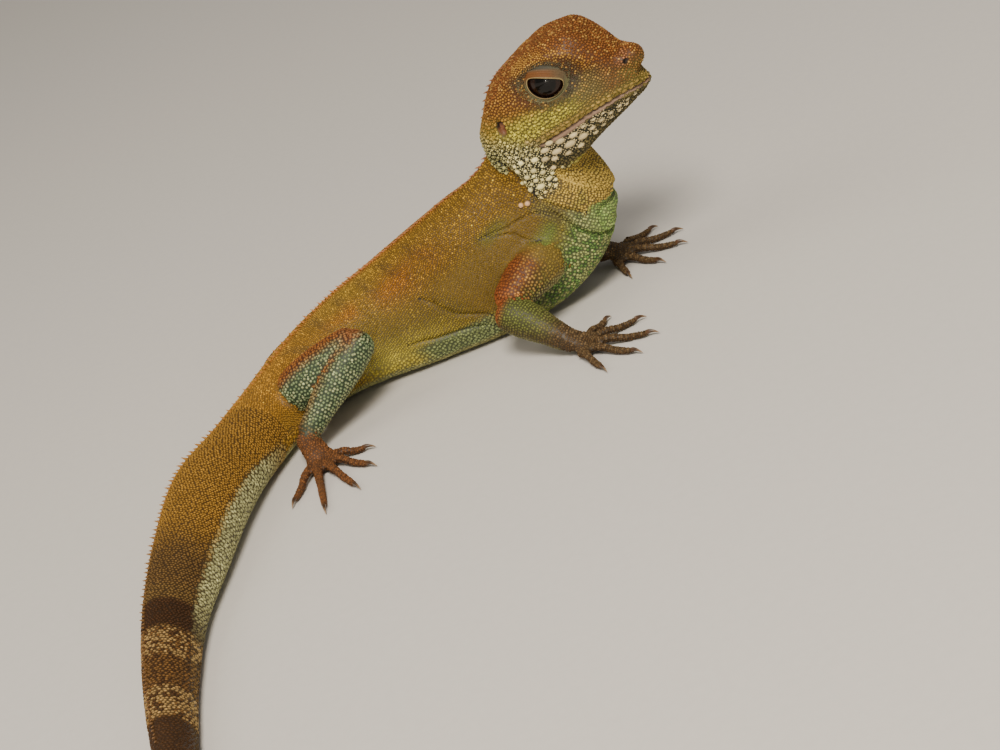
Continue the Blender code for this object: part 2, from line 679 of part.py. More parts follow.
def paw(name, wrist, wrist_radius, length, width, plan, digit_radius):
    """A hand or foot: a flat palm and five clawed digits spread on the floor, in one body."""
    heading = math.radians(plan[0])
    ahead = np.array((math.cos(heading), math.sin(heading), 0.0))
    right = np.array((math.sin(heading), -math.cos(heading), 0.0))
    start = np.asarray(wrist, float)
    ground = np.array((1.0, 1.0, 0.0))
    middle = (start + ahead * length * 0.55) * ground + (0.0, 0.0, 0.5 * start[2] + PALM_END)
    front = (start + ahead * length) * ground + (0.0, 0.0, PALM_HEIGHT)
    radii = (wrist_radius, *(width * share for share in PALM_HALF_WIDTHS))
    palm_points = (start, middle, front, front + ahead * PALM_END)
    palm = tube(name, palm_points, radii, 5, LIMB_COLUMNS, flat=PALM_FLATS, round_end=2 * PALM_END)
    digits = []
    fan = plan[1]
    spread = fan[0][0] > fan[-1][0]
    for index, (turn, reach) in enumerate(fan):
        angle = heading + math.radians(turn)
        way = np.array((math.cos(angle), math.sin(angle), 0.0))
        from_middle = index - 2
        offset = from_middle / 2 * (width / 2 - ROOT_INSET) * (1 if spread else -1)
        root = front * ground + right * offset - ahead * (ROOT_BACK[0] + ROOT_BACK[1] * abs(from_middle))
        stations = (
            (0.0, DIGIT_ROOT_HEIGHT),
            (reach * 0.34, digit_radius + KNUCKLE_RISE),
            (reach * 0.72, digit_radius - PAD_SINK),
            (reach, digit_radius - PAD_SINK),
            (reach + CLAW_LENGTH * 0.55, digit_radius + PAD_SINK),
            (reach + CLAW_LENGTH, CLAW_TIP_HEIGHT),
        )
        line = [root + way * out + (0.0, 0.0, height) for out, height in stations]
        radii = digit_radius * np.array(DIGIT_TAPER)
        digits.append(tube(f"{name} digit {index}", line, radii, 7, DIGIT_COLUMNS))
    return apply_boolean(palm, digits, "UNION")


def material(name, look):
    made = bpy.data.materials.new(name)
    made.use_nodes = True
    shader = made.node_tree.nodes["Principled BSDF"]
    shader.inputs["Base Color"].default_value = (*look[:3], 1.0)
    shader.inputs["Roughness"].default_value = look[3]
    shader.inputs["Metallic"].default_value = 0.0
    return made


def finish(obj, look, collection):
    """Gives a piece its own material and smooth shading, and puts it in the animal's collection."""
    obj.data.materials.clear()
    obj.data.materials.append(material(obj.name, look))
    obj.data.shade_smooth()
    obj.data.set_sharp_from_angle(angle=SHARP_FROM)
    obj.parent = bpy.data.objects["belly rest"]
    return put(obj, collection)


def limb(word, names, root, bend, end, plan, upper_radii, lower_radii, length, width, trunk):
    """Upper piece, lower piece and hand or foot of one limb."""
    root, bend, end = np.asarray(root, float), np.asarray(bend, float), np.asarray(end, float)
    upper_name, lower_name, end_name = (f"{name}_{word}" for name in names)
    upper_line = (root, (root + bend) / 2 + (0.0, 0.0, UPPER_RISE), bend)
    upper = tube(upper_name, upper_line, upper_radii, LIMB_RINGS, LIMB_COLUMNS,
                 round_start=UPPER_ROUND[0], round_end=UPPER_ROUND[1])
    apply_boolean(upper, [grown(trunk)], "DIFFERENCE")
    along = unit(end - bend)
    lower_line = (bend - along * JOINT_OVERLAP, (bend + end) / 2 + (0.0, 0.0, LOWER_RISE), end)
    lower = tube(lower_name, lower_line, lower_radii, LIMB_RINGS, LIMB_COLUMNS, round_start=LOWER_ROUND)
    apply_boolean(lower, [grown(upper)], "DIFFERENCE")
    apply_boolean(lower, [grown(trunk)], "DIFFERENCE")
    paw_start = end + along * (JOINT_GAP + WRIST_CLEARANCE)
    tip = paw(end_name, paw_start, lower_radii[-1], length, width, plan, DIGIT_RADIUS)
    apply_boolean(tip, [grown(lower)], "DIFFERENCE")
    return upper, lower, tip


def build():
    for old in list(bpy.data.objects):
        bpy.data.objects.remove(old)
    animal = bpy.data.collections.new("Water dragon")
    bpy.context.scene.collection.children.link(animal)
    rest = bpy.data.objects.new("belly rest", None)
    rest.location = [-value * MM for value in BELLY_REST]
    animal.objects.link(rest)

    body = Form(NECK_SECTIONS + TRUNK_SECTIONS + tuple(tail_rows()))
    half_gap = JOINT_GAP / 2
    neck_end = body.knots[len(NECK_SECTIONS) - 1] + NECK_RUNS_ON
    trunk_end = body.knots[len(NECK_SECTIONS) + len(TRUNK_SECTIONS)] - TAIL_STARTS_BEFORE

    # Head with the lower jaw parted along the mouth line.
    rings = head_rings(HEAD_RINGS, HEAD_COLUMNS)
    whole = grid_object("head", rings, head_point(*HEAD_FRONT), head_point(*HEAD_REAR))
    eye_back = EYE_AT[1] - EYE_BACK
    for side in (-1, 1):
        centre = head_point(EYE_AT[0], side * EYE_AT[1], EYE_AT[2])
        apply_boolean(whole, [ball("lids", centre, EYE_RADIUS + JOINT_GAP + LID_THICKNESS)], "UNION")
    skin = surface_of(whole)
    jaw = bpy.data.objects.new("lower_jaw", whole.data.copy())
    apply_boolean(jaw, [head_prism("jaw block", jaw_outline(0.0))], "INTERSECT")
    apply_boolean(whole, [head_prism("mouth cut", jaw_outline(JOINT_GAP))], "DIFFERENCE")
    eyes = []
    ears = []
    for side, word in ((-1, "right"), (1, "left")):
        centre = head_point(EYE_AT[0], side * EYE_AT[1], EYE_AT[2])
        wide = oval(CUTTER_REACH, CUTTER_REACH, CUTTER_SIDES)
        eye = ball("eye_" + word, centre, EYE_RADIUS)
        behind_eye = side_drum("eye back", EYE_AT, side, wide, -CUTTER_REACH, eye_back)
        apply_boolean(eye, [behind_eye], "DIFFERENCE")
        socket = ball("socket", centre, EYE_RADIUS + JOINT_GAP)
        behind_socket = side_drum("socket back", EYE_AT, side, wide, -CUTTER_REACH, eye_back - JOINT_GAP)
        apply_boolean(socket, [behind_socket], "DIFFERENCE")
        lids = oval(LID_LENGTH, LID_OPENING, CUTTER_SIDES, LID_TILT, LID_ABOVE)
        opening = side_drum("opening", EYE_AT, side, lids, EYE_AT[1] + LID_THICKNESS, CUTTER_REACH)
        ear_floor = EAR_AT[1] - EAR_DEPTH
        hole = oval(EAR_WIDTH, EAR_HEIGHT, CUTTER_SIDES, EAR_TILT)
        ear_hole = side_drum("ear hole", EAR_AT, side, hole, ear_floor, CUTTER_REACH)
        apply_boolean(whole, [opening, ear_hole], "DIFFERENCE")
        apply_boolean(whole, [socket], "DIFFERENCE")
        drum = oval(EAR_WIDTH - 2 * JOINT_GAP, EAR_HEIGHT - 2 * JOINT_GAP, CUTTER_SIDES, EAR_TILT)
        drum_floor = ear_floor + JOINT_GAP
        ear = side_drum("ear_" + word, EAR_AT, side, drum, drum_floor, drum_floor + DRUM_THICKNESS)
        eyes.append(eye)
        ears.append(ear)
        at = head_point(NOSTRIL_AT[0], side * NOSTRIL_AT[1], NOSTRIL_AT[2])
        b, v, w = np.add(NOSTRIL_AT, NOSTRIL_WAY)
        out = head_point(b, side * v, w)
        radii = [NOSTRIL_RADIUS * share for share in NOSTRIL_FLARE]
        nostril = tube("nostril", (2 * at - out, at, out), radii, 3, NOSTRIL_SIDES)
        apply_boolean(whole, [nostril], "DIFFERENCE")

    # Scutes of the jaw and the jowl, and the first spines of the crest on the nape.
    apply_boolean(jaw, [scute for side in (-1, 1) for scute in scute_rows(JAW_ROWS, side, skin)], "UNION")
    nape = []
    back, _, up = head_axes()
    for b in NAPE_SPINES_AT:
        hit, normal, _, _ = skin.ray_cast(Vector(head_point(b, 0.0, OUTSIDE_HEAD) * MM), Vector(-up))
        out = np.array(normal)
        along = unit(back - back.dot(out) * out)
        nape.append(spine("nape spine", np.array(hit) / MM, along, out, *NAPE_SPINE, SPINE_LEAN))
    jowls = [scute for side in (-1, 1) for scute in scute_rows(JOWL_ROWS, side, skin)]
    apply_boolean(whole, jowls + nape, "UNION")

    # Neck, trunk and tail, parted by thin cuts across one smooth form.
    chance = np.random.default_rng(CREST_SEED)
    neck = body_piece("neck", body, 0.0, neck_end - half_gap, NECK_RINGS, BODY_COLUMNS)
    neck_crest = crest("neck", body, NECK_CREST_START, neck_end - half_gap, chance)
    apply_boolean(neck, neck_crest, "UNION")
    apply_boolean(neck, [grown(whole), grown(jaw)], "DIFFERENCE")
    pieces = []
    trunk_cuts = (neck_end, body.knots[CHEST_END_ROW], body.knots[BELLY_END_ROW], trunk_end)
    tail_cuts = tuple(trunk_end + cut for cut in TAIL_CUTS) + (body.length,)
    cuts = trunk_cuts + tail_cuts
    names = ("chest", "belly", "pelvis") + tuple(f"tail_{number}" for number in range(1, 7))
    for name, start, end in zip(names, cuts, cuts[1:]):
        columns = TAIL_COLUMNS if name.startswith("tail") else BODY_COLUMNS
        first = start + half_gap
        last = end if end == body.length else end - half_gap
        spacing = RING_SPACING if name in ("chest", "belly", "pelvis") else TAIL_RING_SPACING
        rings = LEAST_RINGS + int((end - start) / spacing)
        piece = body_piece(name, body, first, last, rings, columns)
        if start < CREST_END:
            apply_boolean(piece, crest(name, body, first, min(last, CREST_END), chance), "UNION")
        pieces.append(piece)
    trunk = body_piece("trunk clearance", body, neck_end, trunk_end, TRUNK_RINGS, BODY_COLUMNS)

    # Limbs, each cut clear of what it grows from.
    limbs = []
    arms = (
        ("right", RIGHT_SHOULDER, RIGHT_ELBOW, RIGHT_WRIST, RIGHT_HAND),
        ("left", LEFT_SHOULDER, LEFT_ELBOW, LEFT_WRIST, LEFT_HAND),
    )
    legs = (
        ("right", RIGHT_HIP, RIGHT_KNEE, RIGHT_ANKLE, RIGHT_FOOT),
        ("left", LEFT_HIP, LEFT_KNEE, LEFT_ANKLE, LEFT_FOOT),
    )
    for word, root, bend, end, plan in arms:
        limbs.append(limb(word, ("upper_arm", "forearm", "hand"), root, bend, end, plan,
                          UPPER_ARM_RADII, FOREARM_RADII, PALM_LENGTH, PALM_WIDTH, trunk))
    for word, root, bend, end, plan in legs:
        limbs.append(limb(word, ("thigh", "shank", "foot"), root, bend, end, plan,
                          THIGH_RADII, SHANK_RADII, SOLE_LENGTH, SOLE_WIDTH, trunk))

    finish(whole, SKIN_HEAD, animal)
    finish(jaw, JAW_PALE, animal)
    for eye in eyes:
        finish(eye, EYE_DARK, animal)
    for ear in ears:
        finish(ear, EAR_DARK, animal)
    finish(neck, SKIN_GREEN, animal)
    for piece in pieces:
        finish(piece, SKIN_TAIL if piece.name.startswith("tail") else SKIN_OLIVE, animal)
    bpy.data.objects.remove(trunk)
    for upper, lower, end in limbs:
        finish(upper, SKIN_GREEN, animal)
        finish(lower, SKIN_GREEN, animal)
        finish(end, SKIN_BROWN, animal)


build()
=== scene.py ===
import math

import bmesh
import bpy
import numpy as np
from mathutils import Matrix, Vector
from mathutils.bvhtree import BVHTree
from mathutils.kdtree import KDTree


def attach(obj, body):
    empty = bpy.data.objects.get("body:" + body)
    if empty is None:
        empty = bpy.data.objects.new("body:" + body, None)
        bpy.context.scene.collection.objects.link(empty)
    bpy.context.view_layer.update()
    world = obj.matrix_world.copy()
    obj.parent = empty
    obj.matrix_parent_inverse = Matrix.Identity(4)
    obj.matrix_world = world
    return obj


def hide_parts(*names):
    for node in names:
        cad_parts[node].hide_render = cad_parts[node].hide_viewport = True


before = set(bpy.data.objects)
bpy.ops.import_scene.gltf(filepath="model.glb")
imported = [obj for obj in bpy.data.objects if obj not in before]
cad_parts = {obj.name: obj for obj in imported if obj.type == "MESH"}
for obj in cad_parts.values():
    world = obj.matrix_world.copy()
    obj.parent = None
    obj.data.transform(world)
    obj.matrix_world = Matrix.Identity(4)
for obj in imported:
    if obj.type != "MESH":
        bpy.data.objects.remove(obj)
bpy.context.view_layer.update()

# Floor, light and camera. A plain pale sheet under a large soft lamp in front and above, a weak
# one on the left, a tiny one low in front for the glint in the eye, and an even room. The camera
# stands where the photograph was taken from, turned as it was.


class Tone:
    """One output of a material's nodes. Sums on it add the Math nodes that they need."""

    def __init__(self, look, socket):
        self.look = look
        self.socket = socket

    def sum_of(self, operation, *values):
        return self.look.node("ShaderNodeMath", {"operation": operation}, dict(enumerate(values)))

    def __add__(self, other):
        return self.sum_of("ADD", self, other)

    def __sub__(self, other):
        return self.sum_of("SUBTRACT", self, other)

    def __rsub__(self, other):
        return self.sum_of("SUBTRACT", other, self)

    def __mul__(self, other):
        return self.sum_of("MULTIPLY", self, other)

    __radd__ = __add__
    __rmul__ = __mul__


class Look:
    """A material: the constants of its shader and the nodes that vary over the surface."""

    def __init__(self, name, constants):
        self.material = bpy.data.materials.new(name)
        self.material.use_nodes = True
        self.tree = self.material.node_tree
        self.shader = self.tree.nodes["Principled BSDF"]
        for socket, value in constants.items():
            self.shader.inputs[socket].default_value = value

    def node(self, kind, settings, inputs, output=0):
        """One node of a kind, with its settings and what its sockets hold or are fed by."""
        made = self.tree.nodes.new(kind)
        for setting, value in settings.items():
            if setting == "stops":
                first, *between, last = value
                ends = made.color_ramp.elements[0], made.color_ramp.elements[-1]
                for element, (place, colour) in zip(ends, (first, last)):
                    element.position = place
                    element.color = (*colour, 1.0)
                for place, colour in between:
                    made.color_ramp.elements.new(place).color = (*colour, 1.0)
            else:
                setattr(made, setting, value)
        for socket, value in inputs.items():
            if isinstance(value, Tone):
                self.tree.links.new(value.socket, made.inputs[socket])
            else:
                made.inputs[socket].default_value = value
        return Tone(self, made.outputs[output])

    def feed(self, socket, tone):
        """Leads one output of the nodes into a socket of the shader."""
        self.tree.links.new(tone.socket, self.shader.inputs[socket])

    def kept(self, name, output=0):
        """A colour, or with output 2 a value, kept for each point of the mesh."""
        return self.node("ShaderNodeAttribute", {"attribute_name": name}, {}, output)

    def grain(self, size, detail=2.0):
        """Noise from 0 to 1 with grains of the given size in millimetres."""
        where = self.node("ShaderNodeTexCoord", {}, {}, "Object")
        scale = 1000.0 / size
        return self.node("ShaderNodeTexNoise", {}, {"Vector": where, "Scale": scale, "Detail": detail})

    def shaded(self, colour, share):
        """A colour made lighter or darker by a share, with black and white as the two ends."""
        grey = self.node("ShaderNodeCombineColor", {}, {0: share, 1: share, 2: share})
        return self.node("ShaderNodeMix", {"data_type": "RGBA", "blend_type": "MULTIPLY"},
                         {0: 1.0, 6: colour, 7: grey}, 2)

    def bump(self, height, depth):
        """Raises the surface by a height from 0 to 1, at a depth in millimetres."""
        distance = depth * 0.001
        sizes = {"Height": height, "Distance": distance, "Strength": 1.0}
        self.feed("Normal", self.node("ShaderNodeBump", {}, sizes))


def stood(name, data):
    """An object of the scene that shows or uses some data."""
    made = bpy.data.objects.new(name, data)
    bpy.context.scene.collection.objects.link(made)
    return made


FLOOR_REACH = 3.0
floor_mesh = bpy.data.meshes.new("floor")
corners = ((-1, -1), (1, -1), (1, 1), (-1, 1))
floor_mesh.from_pydata([(x * FLOOR_REACH, y * FLOOR_REACH, 0) for x, y in corners],
                       [], [(0, 1, 2, 3)])
floor = stood("floor", floor_mesh)
paper = Look("pale_floor", {"Roughness": 0.75})
paper.feed("Base Color", paper.shaded((0.62, 0.60, 0.57, 1.0), paper.grain(2.0) * 0.06 + 0.96))
floor_mesh.materials.append(paper.material)

BELLY_REST = np.array((2.0, -7.0, 0.0))
VIEW_DOWN = math.radians(25.0)
VIEW_ROLL = math.radians(24.0)
VIEW_DISTANCE = 500.0
LENS = 80.0
FRAME_MIDDLE = (133.0, -11.0)
ahead = np.array((0.0, math.cos(VIEW_DOWN), -math.sin(VIEW_DOWN)))
level = np.array((1.0, 0.0, 0.0))
upright = np.array((0.0, math.sin(VIEW_DOWN), math.cos(VIEW_DOWN)))
to_right = math.cos(VIEW_ROLL) * level - math.sin(VIEW_ROLL) * upright
to_top = math.sin(VIEW_ROLL) * level + math.cos(VIEW_ROLL) * upright
pixel = VIEW_DISTANCE / (LENS / 36.0 * 1000.0)
eye_of_camera = -VIEW_DISTANCE * ahead + FRAME_MIDDLE[0] * pixel * to_right + FRAME_MIDDLE[1] * pixel * to_top


def placed(points):
    """Places of the model in metres, from the animal's own frame in millimetres."""
    return (np.asarray(points, float) - BELLY_REST) * 0.001


lens = bpy.data.cameras.new("camera")
lens.lens = LENS
lens.clip_start = 0.01
camera = stood("camera", lens)
turned = np.eye(4)
turned[:3] = np.column_stack((to_right, to_top, -ahead, placed(eye_of_camera)))
camera.matrix_world = Matrix(turned.tolist())
bpy.context.scene.camera = camera

WARM_WHITE = (1.0, 0.91, 0.78)
LAMPS_ROUND = np.array((30.0, -15.0, 20.0))
LIT_SPOT = (20.0, -15.0, 15.0)
for name, power, size, across, rise, near in (
    ("main_lamp", 9.4, 0.26, -0.16, 0.34, 0.78),
    ("left_lamp", 1.6, 0.50, -0.75, 0.25, 0.30),
    ("glint_lamp", 0.7, 0.03, -0.038, -0.27, 0.54),
):
    light = bpy.data.lights.new(name, "AREA")
    light.energy, light.size, light.color = power, size, WARM_WHITE
    place = LAMPS_ROUND + 1000.0 * (across * to_right + rise * to_top - near * ahead)
    lamp = stood(name, light)
    lamp.location = placed(place)
    lamp.rotation_euler = Vector(placed(LIT_SPOT) - placed(place)).to_track_quat("-Z", "Y").to_euler()

world = bpy.data.worlds.new("room")
world.use_nodes = True
room = world.node_tree.nodes["Background"].inputs
room["Color"].default_value = (0.87, 0.82, 0.75, 1.0)
room["Strength"].default_value = 0.36
bpy.context.scene.world = world

# Neck, trunk and tail. One smooth form of flesh under the skin: each row of the tables is a
# cross section with its point on the back, its point on the belly, its half width and how far
# up it is widest. The tail lies on the floor along its own line.
NECK_SECTIONS = (
    (53.0, -14.5, 48.5, 61.0, -18.7, 35.0, 5.6, 0.50),
    (48.8, -11.5, 46.5, 61.6, -18.5, 29.5, 7.4, 0.50),
    (45.6, -11.2, 42.0, 64.8, -17.8, 24.2, 8.4, 0.50),
    (42.6, -11.0, 37.6, 64.6, -16.9, 19.0, 9.2, 0.48),
    (37.6, -11.0, 34.4, 62.0, -15.4, 13.0, 9.9, 0.46),
)
TRUNK_SECTIONS = (
    (30.2, -10.5, 32.2, 57.2, -13.8, 7.6, 10.7, 0.44),
    (23.2, -9.6, 29.7, 49.6, -12.4, 3.2, 11.5, 0.43),
    (16.2, -8.0, 26.9, 37.0, -10.4, 0.2, 12.0, 0.41),
    (8.4, -6.2, 23.8, 21.0, -8.4, -0.6, 12.4, 0.39),
    (0.0, -5.0, 20.9, 4.5, -7.2, -0.6, 12.2, 0.39),
    (-8.0, -6.0, 18.1, -7.0, -9.0, -0.6, 11.2, 0.40),
    (-15.8, -10.4, 15.8, -14.4, -13.6, -0.6, 9.9, 0.42),
    (-23.0, -18.0, 14.4, -20.8, -21.0, -0.5, 8.8, 0.45),
)
TAIL_LINE = (
    (-29.0, -31.0), (-37.0, -46.5), (-43.6, -67.0), (-48.4, -85.0), (-50.6, -104.0),
    (-51.2, -124.0), (-50.0, -146.0), (-45.0, -168.0), (-35.0, -190.0), (-19.0, -211.0),
    (2.0, -229.0), (27.0, -243.0), (55.0, -252.0), (83.0, -256.0),
)
TAIL_AT = (0.0, 18.0, 39.0, 58.0, 77.0, 97.0, 140.0, 190.0, 240.0, 292.0)
TAIL_HEIGHT = (15.2, 17.0, 15.4, 12.4, 10.6, 8.9, 6.6, 4.7, 3.1, 1.25)
TAIL_WIDTH = (15.6, 14.6, 12.2, 9.8, 8.3, 7.0, 5.3, 3.9, 2.7, 1.15)
TAIL_LEAN = (14.0, 30.0, 38.0, 36.0, 30.0, 24.0, 12.0, 5.0, 0.0, 0.0)
FLOOR_SINK = 0.35
BELLY_SQUARE = 0.12


def smooth_rows(knots, rows, places):
    """The smooth curve through rows of numbers at uneven knots, read at places."""
    knots = np.asarray(knots, float)
    rows = np.asarray(rows, float).reshape(len(knots), -1)
    places = np.asarray(places, float)
    steps = np.diff(knots)[:, None]
    slopes = np.diff(rows, axis=0) / steps
    between = (slopes[:-1] * steps[1:] + slopes[1:] * steps[:-1]) / (steps[:-1] + steps[1:])
    tangents = np.concatenate([slopes[:1], between, slopes[-1:]])
    index = np.clip(np.searchsorted(knots, places, side="right") - 1, 0, len(knots) - 2)
    width = steps[index]
    t = (places - knots[index])[:, None] / width
    start = (2 * t**3 - 3 * t**2 + 1) * rows[index] + (t**3 - 2 * t**2 + t) * width * tangents[index]
    end = (3 * t**2 - 2 * t**3) * rows[index + 1] + (t**3 - t**2) * width * tangents[index + 1]
    return start + end


def lengths_along(points):
    """Distance from the first point to each point of a line."""
    steps = np.linalg.norm(np.diff(np.asarray(points, float), axis=0), axis=1)
    return np.concatenate([[0.0], np.cumsum(steps)])


def unit(vectors):
    """The vectors at length 1."""
    return vectors / np.linalg.norm(vectors, axis=-1, keepdims=True).clip(1e-9)


class Flesh:
    """A smooth form along the back, from rows of sections. A place is a distance from its front."""

    def __init__(self, rows):
        self.rows = np.asarray(rows, float)
        self.knots = lengths_along((self.rows[:, 0:3] + self.rows[:, 3:6]) / 2)
        self.length = self.knots[-1]

    def at(self, places, turns):
        """Points at places and at turns in degrees from the back line, positive on the right side."""
        places = np.asarray(places, float)
        turns = np.radians(np.asarray(turns, float))
        values = smooth_rows(self.knots, self.rows, places)
        step = smooth_rows(self.knots, self.rows[:, 0:6], places + 0.05)
        step = step - smooth_rows(self.knots, self.rows[:, 0:6], places - 0.05)
        back, belly, half, widest = values[:, 0:3], values[:, 3:6], values[:, 6], values[:, 7]
        up = unit(back - belly)
        side = unit(np.cross(up, step[:, 0:3] + step[:, 3:6]))
        height = np.linalg.norm(back - belly, axis=1)
        square = 1 + BELLY_SQUARE * np.sin(2 * turns) ** 2 * (np.cos(turns) < 0)
        lift = np.cos(turns) * np.where(np.cos(turns) > 0, height * (1 - widest), height * widest) * square
        across = np.sin(turns) * half * square
        points = belly + (widest * height)[:, None] * up + across[:, None] * side + lift[:, None] * up
        points[:, 2] = points[:, 2].clip(0.0)
        return points


def tail_rows():
    """Cross sections of the tail, each resting on the floor with its lean."""
    line = np.array([(x, y, 0.0) for x, y in TAIL_LINE])
    along = lengths_along(line) * TAIL_AT[-1] / lengths_along(line)[-1]
    sizes = smooth_rows(TAIL_AT, list(zip(TAIL_HEIGHT, TAIL_WIDTH, TAIL_LEAN)), along)
    rows = []
    for index, (height, width, lean) in enumerate(sizes):
        height, half, lean = height / 2, width / 2, math.radians(lean)
        heading = unit(line[min(index + 1, len(line) - 1)] - line[max(index - 1, 0)])
        up = np.array((0.0, 0.0, math.cos(lean))) - np.cross((0.0, 0.0, 1.0), heading) * math.sin(lean)
        rest = math.hypot(height * math.cos(lean), half * math.sin(lean)) - FLOOR_SINK * min(1.0, height / 3)
        centre = line[index] + np.array((0.0, 0.0, rest))
        rows.append((*(centre + up * height), *(centre - up * height), half, 0.5))
    return rows


body = Flesh(NECK_SECTIONS + TRUNK_SECTIONS + tuple(tail_rows()))

# Arms, legs, hands and feet. Round tapering flesh round each bone, with a flat palm or sole
# and five digits spread on the floor. The long fourth toe and the bent knee and elbow are
# as the animal holds them.
RIGHT_ARM = ((47.5, -19.5, 15.5), (32.5, -30.0, 11.4), (42.0, -39.0, 3.6))
LEFT_ARM = ((48.0, -3.5, 14.5), (44.5, 8.0, 7.6), (58.0, -3.5, 3.8))
RIGHT_LEG = ((-17.5, -22.5, 9.5), (3.0, -25.5, 17.2), (-16.0, -33.5, 5.0))
LEFT_LEG = ((-20.0, -7.0, 7.6), (-1.5, 9.0, 8.6), (-8.5, 25.0, 4.4))
ARM_RADII = ((5.2, 5.6, 5.1, 4.3, 3.7), (3.6, 4.2, 4.0, 3.3, 2.8))
LEG_RADII = ((4.8, 5.4, 5.2, 4.7, 4.0), (3.5, 4.2, 3.9, 3.1, 2.6))
PALM = (5.0, 6.4)
SOLE = (9.0, 6.0)
PAW_FLAT = (1.0, 0.62, 0.46, 0.36)
DIGIT_RADIUS = 1.05
DIGIT_SWELL = (1.15, 1.12, 0.98, 1.02, 0.9, 0.94, 0.86, 0.8, 0.6)
CLAW_LENGTH = 2.6
RIGHT_HAND = (-28.0, ((74.0, 7.5), (34.0, 11.0), (3.0, 13.0), (-20.0, 12.5), (-48.0, 9.5)))
LEFT_HAND = (-18.0, ((-66.0, 7.5), (-34.0, 11.0), (-8.0, 13.0), (16.0, 12.5), (44.0, 9.5)))
RIGHT_FOOT = (-78.0, ((62.0, 7.0), (30.0, 11.5), (8.0, 15.0), (-14.0, 18.0), (-38.0, 11.0)))
LEFT_FOOT = (38.0, ((-66.0, 7.0), (-34.0, 11.5), (-10.0, 15.0), (12.0, 18.0), (44.0, 11.0)))


class Limb:
    """A round form along a smooth line of points, with a rounded start or end where one is given."""

    def __init__(self, kind, side, points, radii, flat=(1.0,), round_start=0.0, round_end=0.0):
        self.kind, self.side = kind, side
        self.points, self.radii, self.flat = np.asarray(points, float), radii, flat
        self.knots = lengths_along(self.points)
        self.length = self.knots[-1]
        self.round_start, self.round_end = round_start, round_end

    def at(self, places, turns):
        """Points at distances along the line and at turns round it in degrees, from the top."""
        places = np.asarray(places, float)
        turns = np.radians(np.asarray(turns, float))
        centres = smooth_rows(self.knots, self.points, places)
        headings = unit(smooth_rows(self.knots, self.points, places + 0.05)
                        - smooth_rows(self.knots, self.points, places - 0.05))
        radius = smooth_rows(np.linspace(0, self.length, len(self.radii)), self.radii, places)[:, 0]
        for left, rounding in ((places, self.round_start), (self.length - places, self.round_end)):
            if rounding:
                radius = radius * np.sqrt((1 - (1 - left / rounding).clip(0) ** 2 * 0.97).clip(0.03, 1))
        flats = np.interp(places, np.linspace(0, self.length, len(self.flat)), self.flat)
        side = unit(np.cross((0.0, 0.0, 1.0), headings))
        up = np.cross(headings, side)
        points = centres + (np.sin(turns) * radius)[:, None] * side
        points = points + (np.cos(turns) * radius * flats)[:, None] * up
        points[:, 2] = points[:, 2].clip(0.0)
        return points


claw_roots = []


def paw(kind, side, wrist, wrist_radius, size, plan):
    """The palm or sole and the digits of one limb. The root of each claw is kept for later."""
    length, width = size
    turned_to, digits = plan
    heading = math.radians(turned_to)
    forward = np.array((math.cos(heading), math.sin(heading), 0.0))
    rightward = np.array((math.sin(heading), -math.cos(heading), 0.0))
    ground = np.array((1.0, 1.0, 0.0))
    middle = (wrist + forward * length * 0.55) * ground + (0.0, 0.0, 0.5 * wrist[2] + 0.8)
    front = (wrist + forward * length) * ground + (0.0, 0.0, 1.35)
    flesh = (wrist_radius, width * 0.46, width * 0.5, width * 0.42)
    forms = [Limb(kind, side, (wrist, middle, front, front + forward * 0.8), flesh, PAW_FLAT, round_end=1.6)]
    spread = 1 if digits[0][0] > digits[-1][0] else -1
    for index, (turn, reach) in enumerate(digits):
        way = np.array((math.cos(heading + math.radians(turn)), math.sin(heading + math.radians(turn)), 0.0))
        offset = (index - 2) / 2 * (width / 2 - 0.6) * spread
        root = front * ground + rightward * offset - forward * (1.2 + 0.5 * abs(index - 2)) + (0.0, 0.0, 1.3)
        stations = ((0.34 * reach, DIGIT_RADIUS + 0.75), (0.72 * reach, DIGIT_RADIUS - 0.12),
                    (reach, DIGIT_RADIUS - 0.1), (reach + 0.8, DIGIT_RADIUS))
        line = [root] + [root * ground + way * far + (0.0, 0.0, rise) for far, rise in stations]
        radii = DIGIT_RADIUS * np.array(DIGIT_SWELL)
        forms.append(Limb(kind + "_digit", side, line, radii, round_end=0.8))
        claw_roots.append((kind, side, root * ground + way * (reach + 0.1) + (0.0, 0.0, DIGIT_RADIUS), way))
    return forms


limb_forms = []
for kind, end_kind, side, joints, radii, size, plan in (
    ("arm", "hand", "right", RIGHT_ARM, ARM_RADII, PALM, RIGHT_HAND),
    ("arm", "hand", "left", LEFT_ARM, ARM_RADII, PALM, LEFT_HAND),
    ("leg", "foot", "right", RIGHT_LEG, LEG_RADII, SOLE, RIGHT_FOOT),
    ("leg", "foot", "left", LEFT_LEG, LEG_RADII, SOLE, LEFT_FOOT),
):
    root, bend, end = (np.array(joint) for joint in joints)
    upper_line = (root, (root + bend) / 2 + (0.0, 0.0, 0.4), bend)
    lower_line = (bend - unit(end - bend) * 1.2, (bend + end) / 2 + (0.0, 0.0, 0.3), end)
    limb_forms.append(Limb("upper_" + kind, side, upper_line, radii[0], round_start=3.0, round_end=3.2))
    limb_forms.append(Limb("lower_" + kind, side, lower_line, radii[1], round_start=2.4))
    limb_forms += paw(end_kind, side, end + unit(end - bend) * 0.39, radii[1][-1], size, plan)

